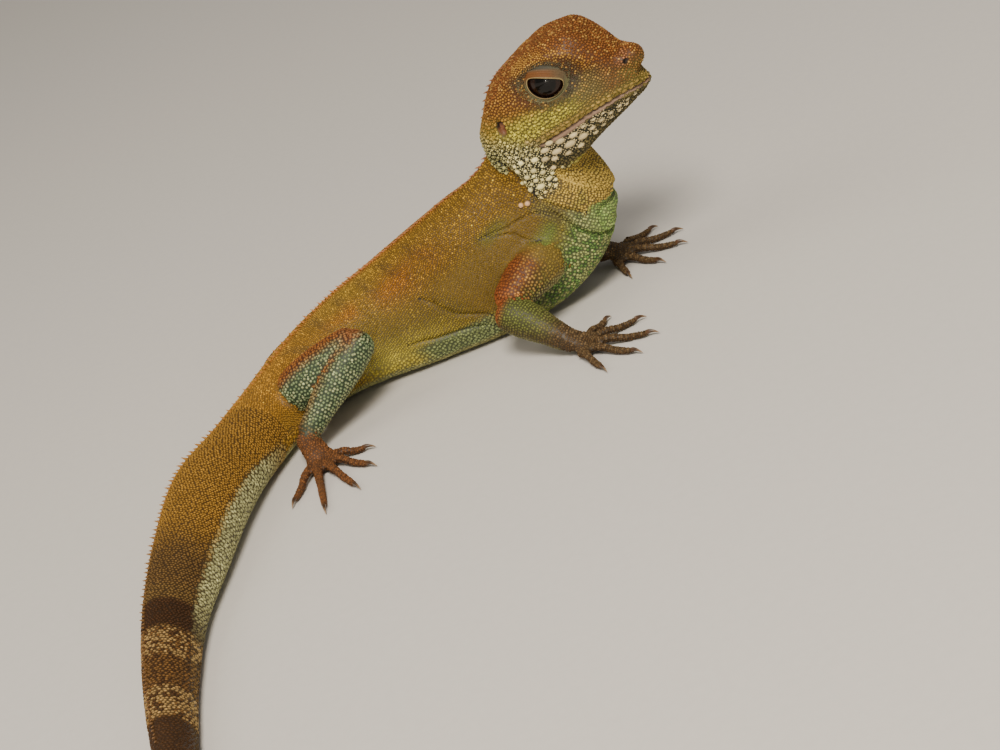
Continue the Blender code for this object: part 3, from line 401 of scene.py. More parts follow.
# Head. Bone and muscle give it its form: high crown with a raised brow over each eye, short
# snout with a round nose, deep jowls. It has its own frame, with b running back from the tip
# of the snout, v to the left and w up.
SNOUT_TIP = np.array((79.4, -26.5, 44.5))
HEAD_YAW, HEAD_PITCH, HEAD_ROLL = math.radians(26.0), math.radians(4.0), math.radians(5.0)
HEAD_AT = (0.5, 3.0, 6.0, 9.5, 14.0, 18.5, 23.0, 28.0, 33.0, 37.0, 39.0)
CROWN = (4.8, 9.0, 13.2, 16.8, 17.3, 16.9, 15.0, 12.9, 9.9, 4.4, 1.4)
CROWN_SIDE = (
    (1.3, 4.6), (2.3, 8.7), (3.7, 12.9), (4.6, 16.4), (4.8, 17.0), (4.7, 16.6),
    (4.7, 14.7), (4.8, 12.5), (4.3, 9.4), (3.4, 4.0), (2.2, 1.2),
)
BROW = (
    (2.4, 3.6), (3.6, 7.0), (5.5, 10.2), (6.9, 13.0), (7.4, 14.9), (7.7, 15.1),
    (7.6, 13.8), (7.6, 11.5), (7.2, 8.1), (5.8, 3.3), (3.6, 0.4),
)
ORBIT = (
    (2.8, 2.5), (3.8, 4.4), (4.9, 5.9), (6.1, 7.2), (7.3, 9.4), (8.2, 10.0),
    (8.6, 9.6), (8.9, 8.0), (8.5, 5.2), (7.0, 1.6), (4.3, -1.2),
)
CHEEK = (
    (2.8, 1.6), (3.9, 2.6), (5.1, 3.1), (6.6, 3.6), (8.1, 4.0), (9.2, 3.8),
    (9.8, 2.8), (10.2, 1.2), (9.9, -0.8), (8.5, -3.2), (5.6, -4.4),
)
UPPER_LIP = (
    (2.5, 0.7), (3.7, 1.0), (5.1, 1.2), (6.6, 1.0), (8.1, 0.6), (9.2, -0.3),
    (9.9, -1.5), (10.4, -3.4), (10.1, -5.2), (8.8, -6.8), (6.0, -7.2),
)
LOWER_LIP = (
    (2.2, -0.6), (3.3, -0.7), (4.7, -0.9), (6.2, -1.3), (7.8, -1.9), (9.0, -3.0),
    (9.8, -4.6), (10.2, -7.2), (9.6, -9.4), (8.2, -10.2), (5.4, -9.8),
)
JAW_EDGE = (
    (1.2, -1.5), (2.0, -2.3), (3.3, -3.4), (4.6, -4.6), (6.1, -6.3), (7.2, -8.4),
    (8.0, -10.6), (7.8, -12.6), (7.0, -13.3), (5.4, -12.8), (3.6, -11.6),
)
CHIN = (-1.7, -2.7, -4.0, -5.4, -7.2, -9.6, -12.0, -13.7, -14.1, -13.2, -12.0)
MOUTH_LINE = ((-3.0, 0.0), (5.7, 0.3), (12.4, -0.1), (18.2, -1.1), (25.0, -2.3))
BROW_RIDGE = ((7.6, 9.8), (8.5, 11.2), (9.2, 12.1), (10.8, 13.5), (13.5, 14.7), (16.7, 15.2),
              (18.8, 15.2), (23.0, 14.0), (26.0, 12.6))
EYE_AT = (18.2, 4.3, 9.8)
EYE_RADIUS = 5.0
NOSTRIL_AT = (1.9, 3.3, 6.6)
EAR_AT = (30.8, 8.6, 3.9)

level_forward = np.array((math.cos(HEAD_YAW), -math.sin(HEAD_YAW), 0.0))
head_forward = math.cos(HEAD_PITCH) * level_forward + np.array((0.0, 0.0, math.sin(HEAD_PITCH)))
head_upright = -math.sin(HEAD_PITCH) * level_forward + np.array((0.0, 0.0, math.cos(HEAD_PITCH)))
head_across = np.array((math.sin(HEAD_YAW), math.cos(HEAD_YAW), 0.0))
HEAD_FRAME = np.array((
    -head_forward,
    math.cos(HEAD_ROLL) * head_across + math.sin(HEAD_ROLL) * head_upright,
    math.cos(HEAD_ROLL) * head_upright - math.sin(HEAD_ROLL) * head_across,
))


def on_head(places):
    """Points of the animal's frame from b, v and w on the head."""
    return SNOUT_TIP + np.asarray(places, float) @ HEAD_FRAME


def in_head(points):
    """The b, v and w on the head of points in the animal's frame."""
    return (np.asarray(points, float) - SNOUT_TIP) @ HEAD_FRAME.T


def head_rings(places, columns):
    """Rings round the head in b, v and w."""
    lines = (CROWN_SIDE, BROW, ORBIT, CHEEK, UPPER_LIP, LOWER_LIP, JAW_EDGE)
    crown = smooth_rows(HEAD_AT, CROWN, places)[:, 0]
    chin = smooth_rows(HEAD_AT, CHIN, places)[:, 0]
    half = [smooth_rows(HEAD_AT, line, places) for line in lines]
    rings = []
    for row, place in enumerate(places):
        right = [(0.0, crown[row])] + [(-line[row, 0], line[row, 1]) for line in half] + [(0.0, chin[row])]
        loop = np.array(right + [(-v, w) for v, w in reversed(right[1:-1])] + right[:1])
        wrapped = np.concatenate([loop[-4:-1], loop, loop[1:4]])
        knots = lengths_along(wrapped)
        knots = knots - knots[3]
        around = smooth_rows(knots, wrapped, np.linspace(0, knots[len(loop) + 2], columns, endpoint=False))
        rings.append(np.column_stack((np.full(columns, place), around)))
    return np.array(rings)


def lump(centre, radii):
    """Rings of an egg-shaped swelling of the head, from its place and half sizes in b, v and w."""
    tilt = np.linspace(0.04, math.pi - 0.04, 16)[:, None]
    turn = np.linspace(0, 2 * math.pi, 24, endpoint=False)[None, :]
    along = np.cos(tilt) * np.ones_like(turn)
    ball = np.stack((along, np.sin(tilt) * np.sin(turn), np.sin(tilt) * np.cos(turn)), 2)
    return on_head(ball * np.array(radii) + np.array(centre))


head_forms = [on_head(head_rings(np.linspace(1.1, 39.0, 110), 120))]
for centre, radii in (((2.4, 0.0, 5.8), (3.8, 3.4, 3.0)), ((2.1, 0.0, 0.1), (2.5, 2.8, 1.5)),
                      ((3.3, -2.7, 6.7), (2.2, 1.6, 1.6)), ((3.3, 2.7, 6.7), (2.2, 1.6, 1.6))):
    head_forms.append(lump(centre, radii))

# Skin. One closed hide over head, body and limbs, so that no joint between the solids shows.
# It is drawn from all the forms at once, then smoothed, and its folds, mouth line, nostrils,
# ear pits and the lip are worked into it. The scales stand on it.
VOXEL = 0.70
COAT_DEPTH = 0.22
SWELL_BACK = -1.03


def closed_loft(rings):
    """Points and triangles of a closed tube through rings of points, with a fan on each end."""
    count, columns = rings.shape[:2]
    points = np.concatenate([rings.reshape(-1, 3), rings[:1].mean(1), rings[-1:].mean(1)])
    row = np.arange(columns)
    beside = (row + 1) % columns
    start = np.arange(count - 1)[:, None] * columns
    a, b = (start + row).ravel(), (start + beside).ravel()
    last = (count - 1) * columns
    faces = np.concatenate([
        np.column_stack((a, b, b + columns)), np.column_stack((a, b + columns, a + columns)),
        np.column_stack((beside, row, np.full(columns, len(points) - 2))),
        np.column_stack((last + row, last + beside, np.full(columns, len(points) - 1))),
    ])
    return points, faces


def object_of(name, points, faces, scaled=True):
    """A smooth shaded object from points in millimetres and faces with equal numbers of corners."""
    mesh = bpy.data.meshes.new(name)
    faces = np.asarray(faces, np.int32)
    mesh.vertices.add(len(points))
    mesh.vertices.foreach_set("co", (placed(points) if scaled else np.asarray(points, float)).ravel())
    mesh.loops.add(faces.size)
    mesh.loops.foreach_set("vertex_index", faces.ravel())
    mesh.polygons.add(len(faces))
    mesh.polygons.foreach_set("loop_start", np.arange(0, faces.size, faces.shape[1], dtype=np.int32))
    mesh.polygons.foreach_set("use_smooth", np.ones(len(faces), bool))
    mesh.update(calc_edges=True)
    return stood(name, mesh)


def faced_out(mesh):
    """Turns the faces of a closed mesh outwards."""
    maker = bmesh.new()
    maker.from_mesh(mesh)
    bmesh.ops.recalc_face_normals(maker, faces=maker.faces[:])
    maker.to_mesh(mesh)
    maker.free()


def rings_of(form, spacing, columns):
    """Rings of points round a form, closer together where its ends are rounded."""
    places = np.linspace(0, form.length, int(form.length / spacing) + 8)
    if isinstance(form, Limb):
        ends = np.array((0.02, 0.08, 0.2, 0.4, 0.7, 1.0))
        places = np.union1d(places, np.concatenate([
            ends * form.round_start, form.length - ends * form.round_end]).clip(0, form.length))
    turns = np.linspace(0, 360, columns, endpoint=False)
    points = form.at(np.repeat(places, columns), np.tile(turns, len(places)))
    return points.reshape(len(places), columns, 3)


lofts = [closed_loft(rings_of(body, 1.0, 96))]
lofts += [closed_loft(rings_of(form, 0.8, 20 if form.kind.endswith("digit") else 44)) for form in limb_forms]
lofts += [closed_loft(rings) for rings in head_forms]
counts = np.cumsum([0] + [len(points) for points, _ in lofts])
source = object_of("skin_source", np.concatenate([points for points, _ in lofts]),
                   np.concatenate([faces + first for (_, faces), first in zip(lofts, counts)]), scaled=False)
remesh = source.modifiers.new("one_hide", "REMESH")
remesh.mode = "VOXEL"
remesh.voxel_size = VOXEL
graph = bpy.context.evaluated_depsgraph_get()
hide = bpy.data.meshes.new_from_object(source.evaluated_get(graph), depsgraph=graph)
bpy.data.objects.remove(source)


def read(mesh):
    """Points and edges of a mesh as arrays."""
    points = np.empty(len(mesh.vertices) * 3)
    mesh.vertices.foreach_get("co", points)
    edges = np.empty(len(mesh.edges) * 2, np.int32)
    mesh.edges.foreach_get("vertices", edges)
    return points.reshape(-1, 3), edges.reshape(-1, 2)


def relaxed(points, edges, share, rounds):
    """Points moved towards the middle of their neighbours, by a share for each point."""
    linked = np.bincount(edges.ravel(), minlength=len(points))[:, None].clip(1)
    for turn in range(rounds):
        total = np.zeros_like(points)
        for axis in range(3):
            total[:, axis] = np.bincount(edges[:, 0], points[edges[:, 1], axis], len(points))
            total[:, axis] += np.bincount(edges[:, 1], points[edges[:, 0], axis], len(points))
        pull = share if turn % 2 == 0 else SWELL_BACK * share
        points = points + np.asarray(pull).reshape(-1, 1) * (total / linked - points)
    return points


def nearest_on(points, line):
    """Distance of each point from a line of points, and how far along the line that is, 0 to 1."""
    line = np.asarray(line, float)
    best, at = np.full(len(points), 1e9), np.zeros(len(points))
    for index, (first, second) in enumerate(zip(line, line[1:])):
        way = second - first
        share = ((points - first) @ way / max(way @ way, 1e-9)).clip(0, 1)
        gap = np.linalg.norm(points - first - share[:, None] * way, axis=1)
        at = np.where(gap < best, (index + share) / (len(line) - 1), at)
        best = np.minimum(best, gap)
    return best, at


def from_line(points, line):
    """Distance of each point from a line of points."""
    return nearest_on(points, line)[0]


def body_line(pairs, side):
    """A line on the body through places and turns, on the right side or the left one."""
    places = smooth_rows(range(len(pairs)), pairs, np.linspace(0, len(pairs) - 1, 6 * len(pairs)))
    return body.at(places[:, 0], places[:, 1] * side)


# Each fold: its places and turns on the body, its depth and its half width.
FOLDS = {
    "gular": (((14.9, 74), (17.3, 81), (18.2, 88), (19.1, 97), (19.8, 107), (20.5, 117), (20.6, 128),
               (20.2, 142), (19.6, 156), (19.3, 170), (19.2, 180)), 1.0, 0.8),
    "gular_upper": (((16.2, 77), (16.8, 87), (16.9, 97), (16.8, 108), (16.3, 119)), 0.5, 0.6),
    "shoulder": (((29.9, 58), (27.1, 63), (25.2, 67), (21.9, 72), (19.6, 80), (18.9, 90)), 0.35, 0.6),
    "shoulder_lower": (((28.6, 62), (26.1, 72), (26.1, 81), (25.4, 90)), 0.35, 0.6),
    "elbow": (((50.9, 62), (49.9, 70), (49.5, 79), (49.0, 86), (47.6, 92), (45.8, 101), (45.3, 106)),
              0.5, 0.65),
    "jowl": (((8.9, 12), (9.5, 32), (10.3, 46), (11.2, 54), (13.1, 62), (15.6, 67), (17.4, 75)), 0.8, 0.7),
    "throat": (((17.6, 131), (16.0, 133), (14.7, 136), (13.8, 141), (13.1, 150), (12.7, 165), (12.3, 180)),
               1.1, 1.5),
    "groin": (((92.0, 50), (89.5, 60), (88.5, 72), (89.5, 84), (91.5, 95)), 0.7, 0.9),
    "belly": (((62.0, 93), (59.7, 96), (56.5, 101), (54.1, 102.5), (51.3, 105), (49.0, 110), (47.2, 117)),
              0.7, 0.65),
}
fold_lines = [(name, body_line(pairs, side), depth, reach)
              for name, (pairs, depth, reach) in FOLDS.items() for side in (-1, 1)]


def by_folds(points, deepest=9.0):
    """Distance of each point from the nearest fold that is less than a depth."""
    return np.min([from_line(points, line) for _, line, depth, _ in fold_lines if depth < deepest], axis=0)


def round_head(points, back, low):
    """Which points are in front of a place and above a height in the head's frame."""
    b, v, w = in_head(points).T
    return (b < back) & (np.abs(v) < 14) & (w > low) & (w < 20)


points, edges = read(hide)
fold_gap = by_folds(points)
of_head = round_head(points, 38.5, -15.5)
roots = np.array([form.points[0] for form in limb_forms if form.kind.startswith("upper")])
root_gap = np.min(np.linalg.norm(points[:, None] - roots[None], axis=2), axis=1)
share = np.where(of_head, 0.5, np.where(root_gap < 9.0, 0.75, 0.55))
digit_lines = [form.points for form in limb_forms if form.kind.endswith("digit")]
by_digits = np.min([from_line(points, line) for line in digit_lines], axis=0) < 1.9
share = np.where(by_digits, 0.22, share)
points = relaxed(points, edges, share, 6)
points = relaxed(points, edges, np.where(root_gap < 8.5, 0.5, 0.0), 5)
hide.vertices.foreach_set("co", points.ravel())
maker = bmesh.new()
maker.from_mesh(hide)
maker.verts.ensure_lookup_table()
finer = of_head | (fold_gap < 1.5)
fine_edges = [edge for edge in maker.edges if finer[edge.verts[0].index] and finer[edge.verts[1].index]]
bmesh.ops.subdivide_edges(maker, edges=fine_edges, cuts=1, use_grid_fill=True)
maker.normal_update()
bmesh.ops.triangulate(maker, faces=maker.faces[:])
maker.to_mesh(hide)
maker.free()
points, edges = read(hide)
of_head = round_head(points, 38.5, -15.5)
points = relaxed(points, edges, np.where(of_head, 0.5, 0.0), 2)
hide_faces = [tuple(face.vertices) for face in hide.polygons]
ground = BVHTree.FromPolygons(points.tolist(), hide_faces)
fold_lines = [(name, np.array([ground.find_nearest(Vector(point))[0] for point in line]), depth, reach)
              for name, line, depth, reach in fold_lines]


def normals_of(mesh, points):
    """The direction of the skin at each point, once the points are moved there."""
    mesh.vertices.foreach_set("co", points.ravel())
    mesh.update()
    normals = np.empty(len(points) * 3)
    mesh.vertices.foreach_get("normal", normals)
    return normals.reshape(-1, 3)


def mouth_height(b):
    """How high the line of the closed mouth is, from how far back."""
    return np.interp(b, *zip(*MOUTH_LINE))


normals = normals_of(hide, points)
b, v, w = in_head(points).T
move = np.full(len(points), -COAT_DEPTH)
for name, line, depth, reach in fold_lines:
    gap, at = nearest_on(points, line)
    ends = np.sin(math.pi * at * (0.5 if FOLDS[name][0][-1][1] == 180 else 1.0)).clip(0, 1) ** 0.5
    move -= ends * depth * (1 - (gap / reach).clip(0, 1) ** 2) ** 2
    move += ends * 0.18 * depth * np.exp(-((gap - 1.6 * reach) / (0.7 * reach)) ** 2) * (depth > 0.4)
    if name == "jowl":
        middle = on_head((26.0, np.sign(in_head(line[3])[1]) * 4.0, 1.0))
        beside = line[(at * (len(line) - 1)).astype(int)]
        above = np.linalg.norm(points - middle, axis=1) < np.linalg.norm(beside - middle, axis=1)
        swell = np.clip((gap - 0.3) / 1.4, 0, 1) * (1 - np.clip((gap - 2.5) / 4.5, 0, 1))
        move += 0.75 * ends * swell * above
over_mouth = w - mouth_height(b)
in_mouth = of_head & (b < 25.4) & (w < 3) & (w > -6)
lip_share = np.where(in_mouth, ((25.6 - b) / 2.0).clip(0, 1), 0.0)
for height, middle, half in ((-0.55, 0.0, 0.24), (0.16, -0.75, 0.5), (0.14, 0.65, 0.45)):
    move += height * lip_share * np.exp(-((over_mouth - middle) / half) ** 2)
for side in (-1, 1):
    brow = on_head([(back, side * np.interp(back, HEAD_AT, [half for half, _ in BROW]), tall)
                    for back, tall in BROW_RIDGE[2:]])
    move += 0.35 * np.exp(-(from_line(points, brow) / 0.8) ** 2)
    nostril = on_head((NOSTRIL_AT[0], side * NOSTRIL_AT[1], NOSTRIL_AT[2]))
    gap = np.linalg.norm(points - nostril, axis=1)
    move -= 0.7 * (1 - (gap / 0.65).clip(0, 1) ** 2)
    gap = np.hypot(b - EAR_AT[0], (w - EAR_AT[2]) * 0.62) + np.where(v * side > 0, 0, 99)
    move -= 1.1 * (1 - (gap / 1.15).clip(0, 1) ** 4)
points = points + normals * move[:, None]
lid_ground = BVHTree.FromPolygons(points.tolist(), hide_faces)

# The skin under the lids gives way to the eyeballs.
EYE_HOLLOW = 4.2
for side in (-1, 1):
    centre = on_head((EYE_AT[0], side * EYE_AT[1], EYE_AT[2]))
    offset = points - centre
    distance = np.linalg.norm(offset, axis=1)
    across = offset @ HEAD_FRAME[1] * side
    within = np.hypot((b - EYE_AT[0]) / 5.3, (w - EYE_AT[2] - 0.8) / 4.2)
    inside = (across > 0) & (within < 1.0) & (distance < 9)
    points = np.where(inside[:, None], centre + offset / distance[:, None] * EYE_HOLLOW, points)
points[:, 2] = points[:, 2].clip(0.0)
normals = normals_of(hide, points)
hide.vertices.foreach_set("co", placed(points).ravel())
hide.update()
skin = stood("skin", hide)
hide.shade_smooth()

# Eyeballs. Glossy wet balls of glass-clear cornea over a nearly black brown iris, one in each
# socket. A round pupil fills most of what the lids leave open.
# The warm cast of the lamps is painted into every colour made by hue, on top of the lamps' own warm white.
PAINTED_LAMP_WARMTH = np.array((0.90, 0.83, 0.60))


def hue(red, green, blue):
    """A colour as a light value, from how it looks on a screen, 0 to 255, with the warm cast of the lamps
    painted in.
    """
    share = np.array((red, green, blue)) / 255.0
    return ((share + 0.055) / 1.055) ** 2.4 * PAINTED_LAMP_WARMTH


def store(mesh, name, kind, values):
    """Keeps a value or a colour for each point of a mesh."""
    layer = mesh.attributes.new(name, kind, "POINT")
    if kind == "FLOAT_COLOR":
        values = np.column_stack((values, np.ones(len(values))))
        layer.data.foreach_set("color", values.ravel().astype(np.float32))
    else:
        layer.data.foreach_set("value", values.astype(np.float32))


wet = Look("wet_eye", {"Roughness": 0.25, "Coat Weight": 0.45, "Coat Roughness": 0.02,
                       "Specular IOR Level": 0.1})
iris = wet.node("ShaderNodeValToRGB", {"stops": (
    (0.0, (0.0015, 0.0012, 0.0012)), (0.27, (0.0018, 0.0014, 0.0013)), (0.31, (0.016, 0.007, 0.004)),
    (0.48, (0.013, 0.005, 0.003)), (0.60, (0.03, 0.009, 0.005)), (1.0, (0.06, 0.03, 0.02)),
)}, {0: wet.kept("from_pupil", 2)})
wet.feed("Base Color", wet.shaded(iris, wet.grain(0.35, 3.0) * 0.8 + 0.6))
CORNEA_RISE, CORNEA_SPREAD = 0.12, 0.55
for side, word in ((-1, "right"), (1, "left")):
    out = unit(HEAD_FRAME[1] * side - 0.16 * HEAD_FRAME[0] + 0.05 * HEAD_FRAME[2])
    over = unit(HEAD_FRAME[2] - HEAD_FRAME[2] @ out * out)
    beside = np.cross(over, out)
    centre = on_head((EYE_AT[0], side * EYE_AT[1], EYE_AT[2]))
    turns = np.linspace(0, 2 * math.pi, 64, endpoint=False)
    round_axis = np.cos(turns)[:, None] * over + np.sin(turns)[:, None] * beside
    rings = []
    for tilt in np.linspace(0.0, math.pi, 49)[1:-1]:
        radius = EYE_RADIUS - 0.04 + CORNEA_RISE * math.exp(-(tilt / CORNEA_SPREAD) ** 2)
        rings.append(centre + radius * (math.cos(tilt) * out + math.sin(tilt) * round_axis))
    ball, faces = closed_loft(np.array(rings))
    eyeball = object_of("eyeball_" + word, ball, faces)
    faced_out(eyeball.data)
    bearing = unit(ball - centre) @ out
    store(eyeball.data, "from_pupil", "FLOAT", np.arccos(bearing.clip(-1, 1)) / (math.pi / 2))
    eyeball.data.materials.append(wet.material)
    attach(eyeball, "root")
    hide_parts("eye_" + word)

# Lids. Soft folds of skin round each eye, flat above and round below, with a rolled pale rim, fine
# wrinkles with painted light and shade, a reddish band over the eye and painted shade above it
# under the brow. The living animal closes them from below.
OPENING = (-0.45, -0.05, 3.65, 1.85, 2.95, 25.5)
LID_REACH = (0.0, 0.9, 6.1, 4.9)
LID_RADIUS = 5.45
LID_ROLL = 0.16
LID_THICK = 0.45
rim_x, rim_y, rim_half, rim_up, rim_down, rim_tilt = OPENING
rim_turn = math.radians(rim_tilt)
LID_COLUMNS = 144
LID_ROWS = 34


def fade(low, high, values):
    """A smooth step from 0 at the low value to 1 at the high one."""
    share = ((np.asarray(values, float) - low) / (high - low)).clip(0, 1)
    return share * share * (3 - 2 * share)


def mixed(first, second, share):
    """One colour run into another by a share for each point."""
    return first + (second - first) * np.asarray(share)[..., None]


LID_RIM = hue(158, 142, 112)
LID_RED = hue(106, 70, 42)
# Grey of the outer upper lid, darkened with painted shade under the brow.
LID_PAINTED_SHADE = hue(62, 62, 60)
LID_GREY = hue(90, 92, 86)
LID_OLIVE = hue(102, 104, 84)
LID_BROWN = hue(96, 58, 28)
LID_EDGE = hue(30, 18, 14)
soft = Look("lid_skin", {"Roughness": 0.6, "Specular IOR Level": 0.2})
soft.feed("Base Color", soft.shaded(soft.kept("Tint"), soft.grain(0.25, 3.0) * 0.5 + 0.75))
soft.bump(soft.grain(0.18, 2.0), 0.03)

lid_faces = []
for side, word in ((-1, "right"), (1, "left")):
    turns = np.linspace(0, 2 * math.pi, LID_COLUMNS, endpoint=False)[None, :]
    share = (np.linspace(0, 1, LID_ROWS) ** 1.15)[:, None]
    x = rim_half * np.cos(turns)
    tall = np.abs(np.sin(turns))
    y = np.where(np.sin(turns) > 0, rim_up * tall ** 0.62, -rim_down * tall ** 1.1)
    rim = (rim_x + x * math.cos(rim_turn) - y * math.sin(rim_turn),
           rim_y + x * math.sin(rim_turn) + y * math.cos(rim_turn))
    far_x, far_y, reach_x, reach_y = LID_REACH
    x = rim[0] + (far_x + reach_x * np.cos(turns) - rim[0]) * share
    y = rim[1] + (far_y + reach_y * np.sin(turns) - rim[1]) * share
    gap = np.hypot(x - rim[0], y - rim[1])
    over = np.sqrt((LID_RADIUS**2 - x**2 - y**2).clip(0.3))
    ground = np.zeros_like(x)
    for row in range(LID_ROWS):
        for column in range(LID_COLUMNS):
            start = on_head((EYE_AT[0] + x[row, column], side * 16.0, EYE_AT[2] + y[row, column]))
            hit = lid_ground.ray_cast(Vector(start), Vector(-side * HEAD_FRAME[1]))[0]
            ground[row, column] = in_head(hit)[1] * side - EYE_AT[1] if hit else 3.5
    height = over + (np.maximum(over, ground + 0.06) - over) * fade(0.05, 0.72, share)
    upper = fade(-0.3, 0.5, np.sin(turns) + 0.0 * share)
    roll = np.sin(math.pi * (gap / 0.5).clip(0, 1)) * LID_ROLL
    wrinkle = np.cos(2 * math.pi * (gap - 0.25) / (0.52 + 0.10 * np.cos(turns)))
    strength = fade(0.5, 0.9, gap) * (1 - fade(0.7, 0.95, share))
    height = height + roll + wrinkle * strength * (0.07 - 0.03 * upper)
    height[-1] -= 0.55
    height[-2] -= 0.12
    face = on_head(np.stack((EYE_AT[0] + x, side * (EYE_AT[1] + height), EYE_AT[2] + y), 2))
    edge = np.sqrt(((EYE_RADIUS - 0.12) ** 2 - x[:1] ** 2 - y[:1] ** 2).clip(0.2))
    low = height - LID_THICK
    low[0] = edge[0]
    under = on_head(np.stack((EYE_AT[0] + x * 1.02, side * (EYE_AT[1] + low), EYE_AT[2] + y * 1.02), 2))[::-1]
    rings = np.concatenate([face, under])
    row, column = np.meshgrid(np.arange(len(rings)), np.arange(LID_COLUMNS), indexing="ij")
    start, next_start = row * LID_COLUMNS, (row + 1) % len(rings) * LID_COLUMNS
    beside = (column + 1) % LID_COLUMNS
    faces = np.stack((start + column, start + beside, next_start + beside, next_start + column), 2)
    lids = object_of("lids_" + word, rings.reshape(-1, 3), faces.reshape(-1, 4))
    faced_out(lids.data)
    front = fade(-0.2, -0.9, np.cos(turns)) + 0 * share
    tint = np.broadcast_to(LID_GREY, (*gap.shape, 3))
    # The upper lid's outer band is grey with painted shade, as under the brow ridge.
    tint = mixed(tint, LID_PAINTED_SHADE, upper * fade(1.5, 2.2, gap))
    tint = mixed(tint, LID_OLIVE, (1 - upper) * fade(0.3, 1.0, gap) * 0.9)
    tint = mixed(tint, LID_GREY, upper * front * 0.8)
    red = upper * fade(0.25, 0.45, gap) * (1 - fade(1.5, 2.2, gap))
    tint = mixed(tint, LID_RED, red * (1 - 0.6 * front))
    tint = mixed(tint, LID_BROWN, upper * fade(0.72, 0.9, share))
    tint = mixed(tint, LID_RIM, (1 - fade(0.26, 0.42, gap)))
    # Painted light and shade of the wrinkles: their crests lighter and their troughs darker in colour, in
    # step with their relief.
    tint = tint * (1 + (0.3 - 0.2 * upper) * wrinkle * strength)[..., None]
    tint = mixed(tint, LID_EDGE, 1 - fade(0.0, 0.14, gap))
    store(lids.data, "Tint", "FLOAT_COLOR", np.concatenate([tint, tint[::-1]]).reshape(-1, 3))
    lids.data.materials.append(soft.material)
    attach(lids, "root")
    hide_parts("head")
    lid_faces.append(face.reshape(-1, 3))

# Scales. Hard horny granules, plates and keeled shields that cover the whole skin, one bed for
# each part of the body. Every scale is rooted in the skin, and they all lie backwards.
chance = np.random.default_rng(11)
skin_tree = BVHTree.FromPolygons(points.tolist(), hide_faces)


def mottle(points, size, seed):
    """Smooth random patches of a size in millimetres, from -1 to 1."""
    places = np.asarray(points) / size + 100.0
    corner = np.floor(places).astype(np.int64)
    share = places - corner
    share = share * share * (3 - 2 * share)
    total = np.zeros(len(places))
    for bits in range(8):
        shift = np.array(((bits >> 2) & 1, (bits >> 1) & 1, bits & 1))
        cell = corner + shift
        code = (cell[:, 0] * 73856093) ^ (cell[:, 1] * 19349663) ^ (cell[:, 2] * 83492791)
        code = code ^ (seed * 2654435761)
        code = (code ^ (code >> 13)) * 1274126177
        value = ((code ^ (code >> 16)) & 65535) / 32767.5 - 1.0
        total += value * np.prod(np.where(shift == 1, share, 1 - share), axis=1)
    return total


def window(low, high, soft, values):
    """1 between two values and 0 outside them, with a soft edge at each."""
    return fade(low - soft, low + soft, values) * (1 - fade(high - soft, high + soft, values))


def tree_of(points):
    """A tree that finds the nearest of some points."""
    tree = KDTree(len(points))
    for index, point in enumerate(points):
        tree.insert(point, index)
    tree.balance()
    return tree


coat = {}
taken = {"points": np.empty((0, 3)), "sizes": np.empty(0)}
ROW_SHARE = 0.87


def rows_on(form, start, end, pitch, low, high, wave=0.0):
    """Scales in staggered rows round a form: place, turn, pitch and width of each."""
    rows = []
    place, index = start, 0
    while place < end:
        size = pitch(place)
        turns = np.linspace(low(place), high(place), 145)
        along = lengths_along(form.at(np.full(145, place), turns))
        count = max(3, int(round(along[-1] / size)))
        order = np.arange(count) + 0.25 + 0.5 * (index % 2) + chance.uniform(-0.22, 0.22, count)
        row_turns = np.interp(order / count * along[-1], along, turns)
        shift = chance.uniform(-0.20, 0.20, count) * size
        if wave:
            shift = shift + wave * mottle(form.at(np.full(count, place), row_turns), 5.0, 31)
        sizes = np.tile((size, along[-1] / count), (count, 1))
        rows.append(np.column_stack((place + shift, row_turns, sizes)))
        place += ROW_SHARE * size
        index += 1
    return np.concatenate(rows)


def settle(points, out, reach):
    """Where the skin lies under each point, its direction there, and whether it is near enough."""
    found = np.zeros(len(points), bool)
    roots, rises = points.copy(), out.copy()
    for index in range(len(points)):
        origin = Vector(points[index] + 3.0 * out[index])
        hit, normal, _, far = skin_tree.ray_cast(origin, Vector(-out[index]), 3.0 + reach)
        if hit is not None and far > 3.0 - reach:
            found[index] = True
            roots[index], rises[index] = hit, normal
    return roots, rises, found


def free_of(points, sizes):
    """Which points are clear of the scales already laid."""
    if not len(taken["points"]):
        return np.ones(len(points), bool)
    tree = tree_of(taken["points"])
    return np.array([tree.find(point)[2] > 0.6 * size for point, size in zip(points, sizes)])


def lay(region, roots, rises, lie, along, around, look):
    """Adds scales to a bed: root, direction, lie, length, width and the looks of each."""
    bed = coat.setdefault(region, [])
    lie = unit(lie - np.sum(lie * rises, axis=1, keepdims=True) * rises)
    bed.append({"root": roots, "rise": rises, "lie": lie, "along": along, "around": around, **look})
    taken["points"] = np.concatenate([taken["points"], roots])
    taken["sizes"] = np.concatenate([taken["sizes"], np.maximum(along, around)])


def in_jowl(place, turn):
    """Where the beads of the jowl take the place of the rows of the neck."""
    around = np.abs(turn)
    back = np.interp(around, (10, 43, 54, 62, 67, 75), (8.6, 9.5, 10.9, 12.8, 15.4, 17.2))
    low = np.interp(place, (0.0, 1.4, 11.2, 16.3, 17.4), (131, 127, 101, 84, 75))
    return (place < back) & (around < low)


